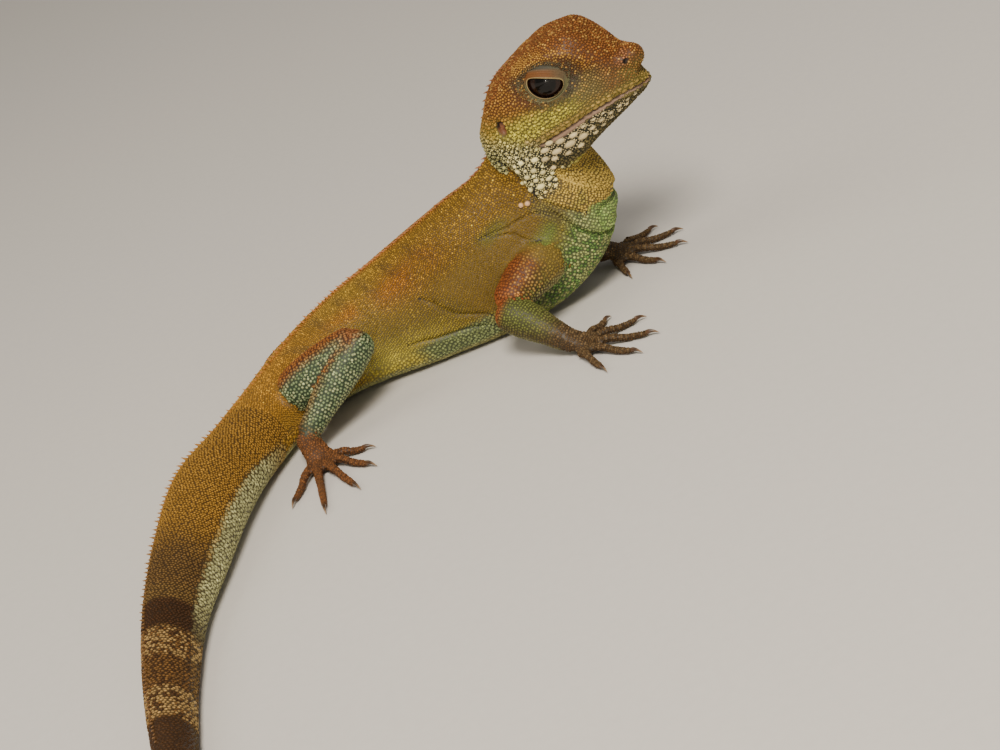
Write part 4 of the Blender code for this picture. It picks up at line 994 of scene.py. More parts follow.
def dress(region, form, rows, paint, reach=1.1):
    """Lays rows of scales on the skin over a form."""
    place, turn, size, around = rows.T
    surface = form.at(place, turn)
    lie = form.at(place + 0.15, turn) - form.at(place - 0.15, turn)
    across = form.at(place, turn + 1.0) - form.at(place, turn - 1.0)
    rises = unit(np.cross(lie, across))
    middle = (form.at(place, np.zeros(len(place))) + form.at(place, np.full(len(place), 180.0))) / 2
    rises = rises * np.where(np.sum(rises * (surface - middle), axis=1) < 0, -1, 1)[:, None]
    along = np.linalg.norm(lie, axis=1) / 0.3 * size * ROW_SHARE
    roots, normals, found = settle(surface, rises, reach)
    gap, shallow = by_folds(roots), by_folds(roots, 0.4)
    found &= (gap > 0.30) | ((shallow <= gap + 1e-6) & (gap > 0.06))
    found &= free_of(roots, size)
    if isinstance(form, Flesh):
        found &= (along > 0.25 * size) & ~in_jowl(place, turn)
    keep = np.flatnonzero(found)
    look = paint(place[keep], turn[keep], roots[keep], normals[keep])
    shown = look.pop("shown", np.ones(len(keep), bool))
    for key in look:
        look[key] = look[key][shown]
    keep = keep[shown]
    along[keep] *= look.pop("short", np.ones(len(keep)))
    look.setdefault("fill", np.full(len(keep), 0.90))
    look["spot"] = np.column_stack((place[keep] / form.length, (turn[keep] / 360.0) % 1.0))
    lay(region, roots[keep], normals[keep], lie[keep], along[keep], around[keep], look)


# Back, flanks and belly. Fine keeled granules in wavy rows, golden olive with rust along the
# crest and orange and grey brown clouds, finer and smooth on the shoulder, and larger pale
# smooth scales under the belly.
GOLD = hue(168, 142, 68)
OCHRE = hue(176, 136, 62)
OLIVE = hue(146, 134, 70)
ORANGE = hue(186, 130, 50)
GREY_BROWN = hue(126, 108, 78)
RUST = hue(160, 96, 50)
KHAKI = hue(134, 118, 62)
LEAF = hue(118, 134, 76)
GREEN = hue(122, 168, 112)
LIME = hue(160, 202, 136)
TEAL = hue(124, 164, 138)
STRAW = hue(212, 190, 118)
MIST = hue(150, 160, 134)
BELLY = hue(182, 190, 158)
CHEST_DOT = hue(206, 220, 176)
YOLK = hue(200, 194, 100)
SHADE = hue(52, 34, 14)
DEEP_GREEN = hue(34, 52, 28)
THROAT_GAP = hue(74, 62, 24)
DEEPER_TIP = np.array((0.80, 0.72, 0.50))
DEEPER_GAP = np.array((0.72, 0.62, 0.45))
# Front edge of the throat's pouch: place and turn.
POUCH_EDGE = ((10.5, 180), (12.0, 150), (13.1, 134), (13.8, 127), (14.7, 123), (16.0, 121), (18.0, 119))


def paint_body(place, turn, roots, rises):
    """The looks of scales of the neck and trunk, from their places and turns."""
    around = np.abs(turn)
    count = len(place)
    cloud, speck = mottle(roots, 7.0, 3), mottle(roots, 2.4, 5)
    tip = np.broadcast_to(GOLD, (count, 3))
    tip = mixed(tip, OLIVE, fade(42, 85, around) * window(20, 92, 8, place))
    tip = mixed(tip, OCHRE, fade(66, 96, place) * (1 - 0.4 * fade(70, 100, around)))
    saddle = np.cos(2 * math.pi * (place - 44.0 + 0.10 * around) / 9.5)
    saddle = fade(0.1, 0.8, saddle + 0.5 * speck) * window(12, 48, 7, around)
    tip = mixed(tip, GREY_BROWN, 0.45 * saddle * window(36, 92, 5, place))
    band = np.exp(-((around - 44 - 0.12 * (place - 60)) / 12) ** 2) * window(38, 86, 6, place)
    tip = mixed(tip, ORANGE, band * fade(-0.5, 0.6, cloud + 0.3 * speck) * 0.85)
    tip = mixed(tip, RUST, (1 - fade(3, 11, around)) * window(24, 96, 8, place) * 0.4)
    tip = mixed(tip, YOLK, 0.55 * window(84, 112, 9, around) * window(50, 76, 6, place))
    smooth = window(21, 46, 2.5, place) * window(60, 103, 6, around)
    tip = mixed(tip, KHAKI, smooth * 0.9)
    front_edge = np.interp(place, *zip(*POUCH_EDGE))
    pouch = fade(-4, 4, around - front_edge) * fade(10.5, 11.5, place) * (1 - fade(20.0, 21.5, place))
    throat = (1 - fade(15.6, 17.6, place)) * (1 - pouch) * fade(66, 76, around)
    chest = fade(96, 116, around - 0.25 * (place - 22)) * (1 - fade(36, 46, place)) * (1 - throat)
    front_green = window(68, 100, 8, around) * window(20, 27, 2.0, place)
    tip = mixed(tip, GREEN, np.maximum(chest, 0.7 * front_green * fade(80, 95, around)))
    tip = mixed(tip, LEAF, window(56, 66, 4, around) * window(24, 31, 2, place) * 0.6)
    tip = mixed(tip, MIST, fade(140, 165, around) * window(20, 44, 3, place) * 0.7)
    tip = mixed(tip, STRAW, throat)
    tip = mixed(tip, LEAF, throat * fade(0.2, 0.9, speck) * 0.5)
    tip = mixed(tip, LIME, pouch)
    tip = mixed(tip, TEAL, pouch * fade(163, 180, around) * 0.6)
    tip = mixed(tip, MIST, window(16.8, 20.0, 0.8, place) * window(76, 128, 8, around) * 0.7)
    under = fade(116, 132, around - 10 * fade(60, 85, place)) * fade(42, 52, place)
    tip = mixed(tip, BELLY, under)
    strip = window(103, 131, 4, around) * window(45.5, 62, 2.5, place)
    tip = mixed(tip, mixed(TEAL, MIST, 0.5), strip * 0.85)
    tip = mixed(tip, CHEST_DOT, chest * (1 - 0.6 * pouch) * (chance.random(count) < 0.5) * 0.7)
    tip = mixed(tip, YOLK, window(99, 128, 6, around) * window(62, 74, 3, place) * 0.9)
    green_zone = np.maximum(np.maximum(chest, pouch), np.maximum(strip, 0.8 * under))
    gap = mixed(tip * 0.50, SHADE, 0.28)
    gap = mixed(gap, DEEP_GREEN, green_zone * (0.55 - 0.25 * pouch))
    gap = mixed(gap, THROAT_GAP, throat * 0.8)
    gap = mixed(gap, tip * 0.72, smooth * 0.9)
    rough = fade(90, 40, around) * (1 - 0.7 * smooth)
    bright = np.exp(chance.normal(0, 0.15, count) * (1 + rough) + 0.18 * speck)
    # Painted glints: up to one in five of the rough upper scales is made much brighter.
    painted_glint = chance.random(count) < 0.20 * rough
    bright = bright * np.where(painted_glint, 1.65, 1.0)
    deeper = (1 - fade(44, 72, place)) * (1 - green_zone) * (1 - throat)
    tip = tip * mixed(np.broadcast_to((1.0, 0.96, 0.80), (count, 3)), DEEPER_TIP, deeper)
    gap = gap * mixed(np.ones((count, 3)), DEEPER_GAP, deeper)
    height = 0.24 - 0.15 * smooth - 0.06 * green_zone
    return {"tip": tip * bright[:, None], "gap": gap, "height": height, "keel": 0.45 * (1 - green_zone),
            "fill": 0.90 + 0.06 * smooth}


def line_of(values):
    """A width that changes along a form, from pairs of place and value."""
    at, value = zip(*values)
    return lambda place: float(np.interp(place, at, value))


fine_edge = line_of(((0, 92), (14, 92), (20, 98), (46, 103), (60, 105), (80, 112), (109, 112)))
fine_pitch = line_of(((0, 0.76), (18, 0.70), (25, 0.58), (45, 0.56), (95, 0.56), (109, 0.60)))
back_rows = rows_on(body, 0.3, 109.0, fine_pitch, lambda s: -fine_edge(s), fine_edge, 0.45)
dress("back", body, back_rows, paint_body)
wide_pitch = line_of(((0, 0.72), (13, 0.74), (20, 0.86), (30, 0.92), (46, 0.88), (62, 0.92), (109, 1.10)))


def dress_under(region, start, end, pitch, edge, paint):
    """Rows of larger scales under the body or the tail, past the edges of the fine rows above."""
    for low, high in ((edge, lambda s: 180.0), (lambda s: -180.0, lambda s: -edge(s))):
        dress(region, body, rows_on(body, start, end, pitch, low, high), paint)


dress_under("underside", 0.3, 112.0, wide_pitch, fine_edge, paint_body)

# Tail. Rings of small keeled scales, gold at the root, then olive and brown with pale speckled
# and plain dark bands to the tip, and larger pale diamonds beneath.
EARTH = hue(116, 92, 58)
DARK_RING = hue(70, 46, 28)
CREAM_RING = hue(178, 150, 108)
DUN_RING = hue(124, 92, 56)
PLAIN_DARK = hue(72, 50, 32)
PALE_DIAMOND = hue(184, 190, 156)
FAR_OLIVE = hue(128, 106, 66)


def paint_tail(place, turn, roots, rises):
    """The looks of scales of the tail, from their places and turns."""
    around = np.abs(turn)
    count = len(place)
    speck = mottle(roots, 2.2, 7)
    tip = np.broadcast_to(OCHRE, (count, 3))
    tip = mixed(tip, EARTH, fade(146, 162, place + 3 * speck))
    tip = mixed(tip, FAR_OLIVE, window(168.5, 172.5, 1.0, place) * 0.5)
    tip = mixed(tip, DARK_RING, window(173, 181.5, 0.8, place))
    dice = chance.random(count)
    pale = window(182, 190.5, 0.7, place) * (dice < 0.60) + window(200, 209.3, 0.6, place) * (dice < 0.66)
    tip = mixed(tip, DUN_RING, fade(181, 183, place))
    tip = mixed(tip, DARK_RING, window(182, 209.3, 0.7, place) * (dice > 0.80) * 0.8)
    tip = mixed(tip, CREAM_RING, pale.clip(0, 1))
    tip = mixed(tip, PLAIN_DARK, fade(209.2, 210.2, place))
    beyond = fade(226, 230, place)
    bands = fade(-0.35, 0.35, np.sin(2 * math.pi * (place - 230) / 24.0) + 0.25 * speck) * beyond
    tip = mixed(tip, FAR_OLIVE, bands * (1 - fade(380, 415, place)) * np.where(dice < 0.75, 1.0, 0.4))
    under = fade(104, 116, around + 2 * speck) * (1 - 0.9 * fade(166, 186, place)) * fade(106, 124, place)
    tip = mixed(tip, PALE_DIAMOND, under * (1 - 0.5 * fade(205, 214, place)))
    gap = mixed(tip * 0.25, SHADE, 0.5)
    gap = mixed(gap, tip * 0.6, fade(209.5, 211, place) * (1 - under) * 0.6)
    bright = np.exp(chance.normal(0, 0.16, count) + 0.15 * speck)
    plain = fade(209.2, 210.2, place) * (1 - beyond)
    return {"tip": tip * bright[:, None], "gap": gap, "height": 0.22 - 0.08 * plain,
            "keel": np.full(count, 0.5), "fill": np.full(count, 1.0), "short": np.full(count, 0.80)}


tail_pitch = line_of(((109, 0.68), (150, 0.66), (180, 0.74), (215, 0.82), (300, 0.85), (420, 0.6)))
under_pitch = line_of(((109, 1.12), (170, 1.05), (215, 0.9), (300, 0.8), (420, 0.6)))
tail_edge = line_of(((109, 112), (130, 106), (160, 100), (200, 108), (420, 118)))
tail_end = body.length - 0.5
tail_rows_above = rows_on(body, 109.0, tail_end, tail_pitch, lambda s: -tail_edge(s), tail_edge)
dress("tail_top", body, tail_rows_above, paint_tail)
dress_under("tail_under", 112.0, tail_end, under_pitch, tail_edge, paint_tail)

# Arms and legs. Keeled diamonds in slanting rows: orange red with cream dots outside the upper
# arm, green below it, teal with whitish dots on the leg under a rusty stripe, and brown rings
# on the hands, feet and digits.
ARM_RUST = hue(140, 84, 44)
ARM_DOT = hue(196, 156, 100)
ELBOW_RED = hue(172, 96, 60)
ARM_GREEN = hue(120, 132, 78)
HAND_BROWN = hue(92, 72, 54)
HAND_DOT = hue(140, 120, 98)
KNEE = hue(158, 106, 70)
LEG_TEAL = hue(118, 144, 122)
LEG_DOT = hue(190, 204, 176)
STRIPE = hue(166, 110, 58)
FOOT_RUST = hue(112, 78, 56)
OUTER_EDGE = np.array((-0.43, 0.38, 0.82))


def paint_limb(form, mirrored):
    """The colours of one limb, with the left side the mirror of the right."""
    def paint(place, turn, roots, rises):
        count = len(place)
        share = place / form.length
        dice = chance.random(count)
        speck = mottle(roots, 2.0, 9)
        edge = rises @ (OUTER_EDGE * (1, mirrored, 1))
        outward = -rises[:, 1] * mirrored
        dots = np.where(dice < 0.45, 1.0, 0.25)
        if form.kind == "upper_arm":
            tip = np.broadcast_to(ARM_GREEN, (count, 3))
            rust = fade(-0.45, 0.35, edge + 0.25 * share) * fade(0.0, 0.25, share + 0.2 * speck)
            tip = mixed(tip, ARM_RUST, rust)
            tip = mixed(tip, ARM_DOT, dots * 0.75 * fade(-0.6, 0.1, outward) * (1 - fade(0.35, 0.8, edge)))
            tip = mixed(tip, ELBOW_RED, fade(0.72, 0.95, share) * 0.6)
            towards_body = 1 - fade(0.10, 0.52, share + 0.1 * speck - 0.12 * outward)
            tip = mixed(tip, KHAKI, towards_body)
            gap = mixed(hue(64, 58, 28), hue(84, 44, 20), rust)
            gap = mixed(gap, KHAKI * 0.6, towards_body)
        elif form.kind == "lower_arm":
            tip = np.broadcast_to(ARM_GREEN, (count, 3))
            tip = mixed(tip, ELBOW_RED, (1 - fade(0.05, 0.22, share)) * 0.9)
            tip = mixed(tip, HAND_BROWN, fade(0.62, 0.95, share))
            tip = mixed(tip, HAND_DOT, 0.5 * dots * fade(0.4, 0.9, share))
            brown_side = fade(0.2, -0.5, rises @ np.array((0.2, 0.1 * mirrored, 0.97)))
            tip = mixed(tip, HAND_BROWN, brown_side * 0.7)
            gap = mixed(tip * 0.4, hue(44, 40, 24), 0.5 + 0 * share)
        elif form.kind in ("upper_leg", "lower_leg"):
            knee = (1 - fade(0.1, 0.3, share)) if form.kind == "lower_leg" else fade(0.75, 0.95, share)
            tip = mixed(np.broadcast_to(LEG_TEAL, (count, 3)), LEG_DOT, 0.7 * dots * fade(-0.5, 0.2, outward))
            top = fade(0.35, 0.85, edge) * (0.5 if form.kind == "lower_leg" else 1.0)
            tip = mixed(tip, STRIPE, top)
            tip = mixed(tip, KNEE, knee * fade(0.0, 0.5, edge) * 0.9)
            if form.kind == "lower_leg":
                tip = mixed(tip, FOOT_RUST, fade(0.85, 1.0, share))
            brown = np.maximum(top, knee * fade(0, 0.5, edge))
            gap = mixed(hue(40, 58, 44) + 0 * tip, hue(70, 36, 14), brown)
        else:
            base, dot = (HAND_BROWN, HAND_DOT) if form.kind.startswith("hand") else (FOOT_RUST, KNEE)
            tip = np.broadcast_to(base, (count, 3))
            ring = 0.5 + 0.5 * np.cos(2 * math.pi * place / 1.5)
            cross = ring if form.kind.endswith("digit") else dots
            tip = mixed(tip, dot, 0.65 * cross * fade(-0.1, 0.5, rises[:, 2]))
            gap = tip * 0.3
        under = fade(-0.2, -0.7, rises[:, 2])
        if not form.kind.startswith(("hand", "foot")):
            tip = mixed(tip, BELLY, under * 0.7)
        bright = np.exp(chance.normal(0, 0.15, count) + 0.12 * speck)
        return {"tip": tip * bright[:, None], "gap": gap + 0 * tip, "height": np.full(count, 0.18),
                "keel": np.full(count, 0.45), "shown": roots[:, 2] > 0.12}
    return paint


LIMB_PITCH = {"upper_arm": 0.86, "lower_arm": 0.72, "upper_leg": 0.88, "lower_leg": 0.86}
PAW_PITCH = 0.62
for form in limb_forms:
    size = LIMB_PITCH.get(form.kind, PAW_PITCH)
    region = "digits" if form.kind.startswith(("hand", "foot")) else "limbs"
    rows = rows_on(form, 0.2, form.length - 0.1, lambda s: size, lambda s: -180.0, lambda s: 180.0)
    dress(region, form, rows, paint_limb(form, 1 if form.side == "right" else -1), reach=1.3)

# Head scales. Small rough granules on the crown and snout, round beads on the cheek, large
# cream plates along the lower jaw and round ones on the jowl with black skin between them,
# and a row of long shields on the upper lip above the bare pink edge of the lower one.
CROWN_BROWN = hue(140, 92, 50)
BROW_GOLD = hue(200, 158, 84)
SNOUT_BROWN = hue(138, 98, 66)
NOSTRIL_PINK = hue(204, 148, 128)
LORE_GREY = hue(126, 118, 86)
TEMPLE = hue(160, 120, 62)
CHEEK_YELLOW = hue(196, 192, 92)
JOWL_CREAM = hue(232, 228, 190)
JAW_PLATE = hue(222, 210, 184)
LABIAL_GOLD = hue(158, 136, 88)
GRAIN_GOLD = hue(216, 176, 104)
LIP_PINK = hue(140, 116, 110)
CROWN_GAP = hue(84, 50, 24)
CHEEK_GAP = hue(92, 86, 36)
JOWL_GAP = hue(34, 36, 20)
UNDER_JAW_GAP = hue(60, 50, 20)
# Grey of the granules round the eye, darkened with painted shade of the socket.
EYE_PAINTED_SHADE = hue(76, 80, 74)
EYE_PAINTED_SHADE_BACK = hue(106, 82, 56)
SNOUT_PINK = hue(150, 92, 76)
JAW_BEAD = hue(120, 112, 84)
CHIN_STRAW = hue(176, 164, 108)
JOWL_BACK = hue(150, 160, 100)
TUBERCLE_PINK = hue(226, 190, 170)
# Plates of the jaw and jowl: b, w, length and height of each.
PLATES = (
    (19.0, -4.6, 3.0, 1.75), (16.0, -4.3, 2.6, 1.6), (20.4, -3.0, 2.4, 1.5), (17.5, -3.0, 2.3, 1.4),
    (22.6, -2.4, 2.1, 1.2), (24.2, -3.6, 2.3, 1.4), (22.1, -4.9, 2.8, 1.5), (27.1, -4.7, 1.9, 1.4),
    (25.1, -5.5, 2.0, 1.4), (23.3, -6.3, 1.8, 1.2), (28.4, -6.9, 1.6, 1.4), (30.4, -7.8, 1.5, 1.4),
    (26.7, -10.3, 1.9, 1.2), (28.9, -11.1, 2.2, 1.4), (20.3, -6.4, 1.9, 1.1), (17.4, -6.1, 2.0, 1.1),
    (13.6, -3.5, 2.2, 1.2), (11.3, -2.8, 2.0, 1.1), (9.1, -2.3, 1.8, 1.0), (7.0, -1.8, 1.7, 0.9),
    (5.1, -1.4, 1.5, 0.8), (3.4, -1.1, 1.4, 0.8), (14.9, -2.1, 1.9, 1.0), (12.5, -1.7, 1.8, 0.8),
    (10.3, -1.4, 1.6, 0.7), (13.6, -4.9, 1.9, 1.0), (11.5, -4.1, 1.7, 0.9), (9.5, -3.4, 1.6, 0.8),
    (7.5, -2.8, 1.5, 0.8), (5.7, -2.3, 1.4, 0.7), (31.6, -5.8, 1.4, 1.3), (30.0, -4.2, 1.4, 1.3),
    (32.6, -9.3, 1.4, 1.3), (24.6, -8.2, 1.5, 1.2), (27.0, -8.2, 1.5, 1.3), (29.2, -9.4, 1.4, 1.2),
    (31.2, -10.9, 1.3, 1.2),
)
# Two round pinkish tubercles at the lower edge of each jowl.
TUBERCLES = ((34.3, -13.1, 1.25), (32.9, -13.3, 1.35))
BEAD_ROUNDS = 9
under_points, under_faces = [points], list(hide_faces)
for face in lid_faces:
    first = sum(len(part) for part in under_points)
    for row in range(LID_ROWS - 1):
        above, below = first + row * LID_COLUMNS, first + (row + 1) * LID_COLUMNS
        for column in range(LID_COLUMNS):
            beside = (column + 1) % LID_COLUMNS
            under_faces.append((above + column, above + beside, below + beside, below + column))
    under_points.append(face)
head_tree = BVHTree.FromPolygons(np.concatenate(under_points).tolist(), under_faces)


def lip_band(b):
    """Width of the bare pink edge of the lower lip, from how far back."""
    return np.interp(b, (0.0, 3.0, 10.0, 19.0, 23.0, 25.0), (0.3, 0.45, 0.7, 0.95, 0.7, 0.2))


def chin_share(b, w):
    """How far a place is under the lower edge of the jaw, from 0 to 1."""
    edge = np.interp(b, (2.5, 8.4, 12.2, 15.4, 20, 28), (-2.6, -3.9, -5.3, -7.0, -9.0, -13))
    return fade(-0.6, -1.6, w - edge)


def over_jowl(b, w):
    """Height over the slanting upper border of the jowl's round beads."""
    return w - 0.35 * (b - 30)


def round_eye(place, wider):
    """How far places are from the middle of the lids' opening, with 1 on a line round it."""
    b, _, w = np.asarray(place).T
    x, y = b - EYE_AT[0] - rim_x, w - EYE_AT[2] - rim_y
    across = x * math.cos(rim_turn) + y * math.sin(rim_turn)
    over = y * math.cos(rim_turn) - x * math.sin(rim_turn)
    tall = np.where(over > 0, rim_up + 2.5 * wider, rim_down + 1.1 * wider)
    return np.hypot(across / (rim_half + wider), over / tall)


def bare(place):
    """Parts of the head without scales: the eye, the lip band, the nostril and the ear."""
    b, v, w = np.asarray(place).T
    side = np.abs(v)
    over = w - mouth_height(b)
    eye = (round_eye(place, 0.9) < 1.0) & (side > 5.0)
    lip = (b < 25.0) & (over < 0.12) & (over > -lip_band(b) - 0.1) & (w > -4.5)
    nostril = (np.hypot(b - NOSTRIL_AT[0], w - NOSTRIL_AT[2]) < 0.6) & (side > 2.0)
    ear = (np.hypot((b - EAR_AT[0]) / 1.15, (w - EAR_AT[2]) / 1.75) < 1.0) & (side > 5)
    return eye | lip | nostril | ear


def paint_head(place, count, large=False):
    """The colours of scales of the head, or of its large plates, from their places in its frame."""
    b, v, w = place.T
    side = np.abs(v)
    over = w - mouth_height(b)
    speck = mottle(place, 1.6, 21)
    cloud = mottle(place, 5.0, 22)
    brow_w = np.interp(b, [3.0] + [row[0] for row in BROW_RIDGE] + [33.0, 37.0],
                       [7.0] + [row[1] for row in BROW_RIDGE] + [8.0, 4.0])
    tip = np.broadcast_to(TEMPLE, (count, 3))
    cheek = fade(7.2, 3.6, w + 0.12 * (b - 20)) * fade(9, 15, b)
    tip = mixed(tip, CHEEK_YELLOW, cheek * (1 - fade(30, 34, b) * 0.5))
    tip = mixed(tip, LORE_GREY, window(5.5, 14.5, 2.5, b) * window(2.2, 9.0, 1.6, w) * 0.85)
    # The granules round the eye are grey with painted shade of the socket, browner behind and below.
    ring = np.hypot((b - EYE_AT[0] + 0.3) / 6.4, (w - EYE_AT[2] - 0.6) / 5.2)
    painted_eye_shade = mixed(np.broadcast_to(EYE_PAINTED_SHADE, (count, 3)), EYE_PAINTED_SHADE_BACK, fade(20, 23, b) * fade(12, 9, w))
    tip = mixed(tip, painted_eye_shade, (1 - fade(1.0, 1.35, ring)) * (side > 4))
    tip = mixed(tip, SNOUT_BROWN, fade(9.5, 4.5, b) * fade(0.8, 2.2, over))
    tip = mixed(tip, CROWN_BROWN, fade(-0.6, 0.5, w - brow_w) * (b < 34))
    ridge = np.exp(-((w - brow_w) / 0.8) ** 2) * window(8.5, 24, 1.5, b) * (side > 4)
    tip = mixed(tip, BROW_GOLD, ridge * 0.95)
    nostril = np.hypot(b - NOSTRIL_AT[0] - 0.5, w - NOSTRIL_AT[2] - 0.4)
    tip = mixed(tip, NOSTRIL_PINK, (1 - fade(0.7, 1.8, nostril)) * 0.5)
    tip = mixed(tip, SNOUT_PINK, fade(2.0, 0.5, b) * fade(0.5, -0.2, np.abs(over - 0.6) - 0.8) * 0.6)
    tip = mixed(tip, LABIAL_GOLD, window(0.1, 2.2, 0.5, over) * (b < 27) * (w > -4))
    tip = mixed(tip, JOWL_CREAM, fade(2.6, -3.4, over_jowl(b, w) + 0.8 * speck) * fade(19, 24, b))
    jaw = (over < -0.2) & (b < 25.5) & (w > -9)
    tip = np.where(jaw[:, None], JAW_PLATE if large else JAW_BEAD, tip)
    tip = mixed(tip, CHIN_STRAW, chin_share(b, w) * (side < 9))
    tip = mixed(tip, STRAW, window(19, 31, 3, b) * fade(-10.5, -13.5, w + 0.25 * (side - 8)) * 0.8)
    tip = mixed(tip, JOWL_BACK, fade(31.5, 34.5, b) * fade(2.5, -2.0, w) * 0.55)
    gap = mixed(np.broadcast_to(CROWN_GAP, (count, 3)), CHEEK_GAP, fade(7.5, 4.0, w))
    gap = mixed(gap, tip * 0.42, window(4, 15, 2, b) * window(2, 9, 1, w) * 0.7)
    jowl = fade(2.6, -2.6, over_jowl(b, w)) * fade(20, 24, b)
    gap = mixed(gap, JOWL_GAP, np.maximum(jowl, jaw & (w < -0.5)))
    gap = mixed(gap, UNDER_JAW_GAP, window(17, 31, 3, b) * fade(-11, -14, w))
    bright = np.exp(chance.normal(0, 0.20, count) + 0.14 * speck + 0.06 * cloud)
    tip = mixed(tip, GRAIN_GOLD, (chance.random(count) < 0.2) * fade(2, 6, w) * 0.6)
    return tip * bright[:, None], gap


def spacing_of(place):
    """How far apart the scales of the head are, from their place."""
    b, v, w = np.asarray(place).T
    side = np.abs(v)
    over = w - mouth_height(b)
    size = np.full(len(b), 0.64)
    size = size + (0.84 - size) * fade(7.5, 4.5, w) * fade(12, 18, b)
    size = size + (0.98 - size) * fade(4.0, 0.5, w) * fade(16, 24, b)
    size = size + (1.30 - size) * fade(-1.0, -4.6, w) * fade(20, 25, b)
    ring = np.hypot((b - EYE_AT[0] + 0.3) / 6.6, (w - EYE_AT[2] - 0.6) / 5.4)
    size = size + (0.46 - size) * (1 - fade(0.85, 1.25, ring)) * (side > 4)
    size = size + (0.56 - size) * fade(8, 3, b) * fade(1.0, 2.2, over)
    size = size + (0.58 - size) * window(6, 13, 2, b) * window(2.5, 8.5, 1.2, w)
    jaw = (over < 0) & (b < 25) & (w > -9)
    size = np.where(jaw, 0.85, size)
    size = size + (0.92 - size) * chin_share(b, w)
    return size + (0.9 - size) * fade(32.5, 35.5, b) * fade(-2, 3, w)


def on_side(b, w, side):
    """The root and the direction of a scale on one side of the head."""
    start = Vector(on_head((b, side * 18.0, w)))
    hit, normal, _, _ = head_tree.ray_cast(start, Vector(-side * HEAD_FRAME[1]))
    return np.array(hit), np.array(normal)


fixed = []
for side in (-1, 1):
    for b, w, length, height in PLATES:
        share = 0.84 if b < 15 else 1.0
        fixed.append((*on_side(b, w, side), length * share, height * share, "plate", (b, side * 9.0, w)))
    for lift, step, height in ((0.52, 1.55, 0.80), (1.24, 1.20, 0.68)):
        for b in np.arange(1.6, 24.6, step):
            w = float(mouth_height(b)) + lift
            root, rise = on_side(b + chance.uniform(-0.1, 0.1), w, side)
            fixed.append((root, rise, step, height, "labial", (b, side * 9.0, w)))
    for b, w, size in TUBERCLES:
        fixed.append((*on_side(b, w, side), size, size, "tubercle", (b, side * 9.0, w)))
roots, rises, along, around, kinds, place = (np.array(column) for column in zip(*fixed))
tip, gap = paint_head(place, len(fixed), large=True)
plates, tubercles = kinds == "plate", kinds == "tubercle"
tip = np.where(tubercles[:, None], TUBERCLE_PINK, tip)


def head_spot(place):
    """Each scale's spot on an unwrap of the head: how far back, and its turn round the middle."""
    turn = np.arctan2(place[:, 1], place[:, 2] - 2.0) / (2 * math.pi) + 0.5
    return np.column_stack((place[:, 0].clip(0, 40) / 40.0, turn))


lie = np.broadcast_to(HEAD_FRAME[0] - 0.05 * HEAD_FRAME[2], roots.shape)
lay("head_plates", roots, rises, lie, along, around, {
    "tip": tip, "gap": gap, "spot": head_spot(place),
    "height": np.where(plates, 0.34, 0.22) + 0.45 * tubercles,
    "keel": np.where(plates, 0.0, 0.1), "fill": np.where(plates, 0.90, 0.93)})

by_head = round_head(points, 41.0, -17.0)
candidates = np.concatenate([points[by_head]] + lid_faces)
place = in_head(candidates)
sizes = spacing_of(place)
cover = tree_of(taken["points"])
nearest = [cover.find(point) for point in candidates]
gaps = np.array([found[2] for found in nearest])
cover_size = taken["sizes"][[found[1] for found in nearest]]
on_jaw = (place[:, 0] < 26.5) & (place[:, 2] < mouth_height(place[:, 0])) & (place[:, 2] > -8)
usable = ~bare(place) & (gaps > 0.45 * sizes + np.where(on_jaw, 0.60, 0.47) * cover_size)


def scattered(spots, usable, cell, room):
    """Numbers of usable spots in random order, each with its room from those kept before it."""
    cells, kept = {}, []
    for index in chance.permutation(np.flatnonzero(usable)):
        x, y, z = np.floor(spots[index] / cell).astype(int)
        near = [other for i in (-1, 0, 1) for j in (-1, 0, 1) for k in (-1, 0, 1)
                for other in cells.get((x + i, y + j, z + k), ())]
        if near and np.any(np.linalg.norm(spots[near] - spots[index], axis=1) < room(near, index)):
            continue
        cells.setdefault((x, y, z), []).append(index)
        kept.append(index)
    return np.array(kept)


kept = scattered(candidates, usable, 1.6, lambda near, own: 0.80 * 0.5 * (sizes[near] + sizes[own]))
spots = candidates[kept]
wall_widths = 0.5 * (along + around)
for turn in range(BEAD_ROUNDS):
    reach = spacing_of(in_head(spots))
    widths = np.concatenate([reach, wall_widths])
    tree = tree_of(np.concatenate([spots, roots]))
    moved = spots.copy()
    for index, point in enumerate(spots):
        push = np.zeros(3)
        for other, number, far in tree.find_range(point, 1.5 * reach[index]):
            wanted = 0.5 * (reach[index] + widths[number]) * (1.0 if number < len(spots) else 1.02)
            if 1e-6 < far < wanted:
                push += (point - np.array(other)) / far * (wanted - far) * 0.45
        length = np.linalg.norm(push)
        moved[index] = point + push * min(1.0, 0.4 / max(length, 1e-6))
    spots = np.array([head_tree.find_nearest(Vector(point))[0] for point in moved])
place = in_head(spots)
keep = ~bare(place) & (place[:, 0] > -3)
spots, place = spots[keep], place[keep]
rises = np.array([head_tree.find_nearest(Vector(point))[1] for point in spots])
sizes = spacing_of(place)
tip, gap = paint_head(place, len(place))
beads = fade(2.6, -2.6, over_jowl(place[:, 0], place[:, 2])) * fade(20, 25, place[:, 0])
stretch = 1.0 + 0.25 * window(8, 26, 3, place[:, 0]) * window(-3, 4, 2, place[:, 2])
lie = np.broadcast_to(HEAD_FRAME[0] - 0.1 * HEAD_FRAME[2], spots.shape)
lay("head_beads", spots, rises, lie, sizes * stretch, sizes / stretch, {
    "tip": tip, "gap": gap, "spot": head_spot(place),
    "height": 0.20 + 0.10 * beads, "keel": 0.15 * (1 - beads),
    "fill": 0.90 - 0.08 * fade(8, 3, place[:, 2]) - (0.12 + 0.14 * chance.random(len(beads))) * beads})

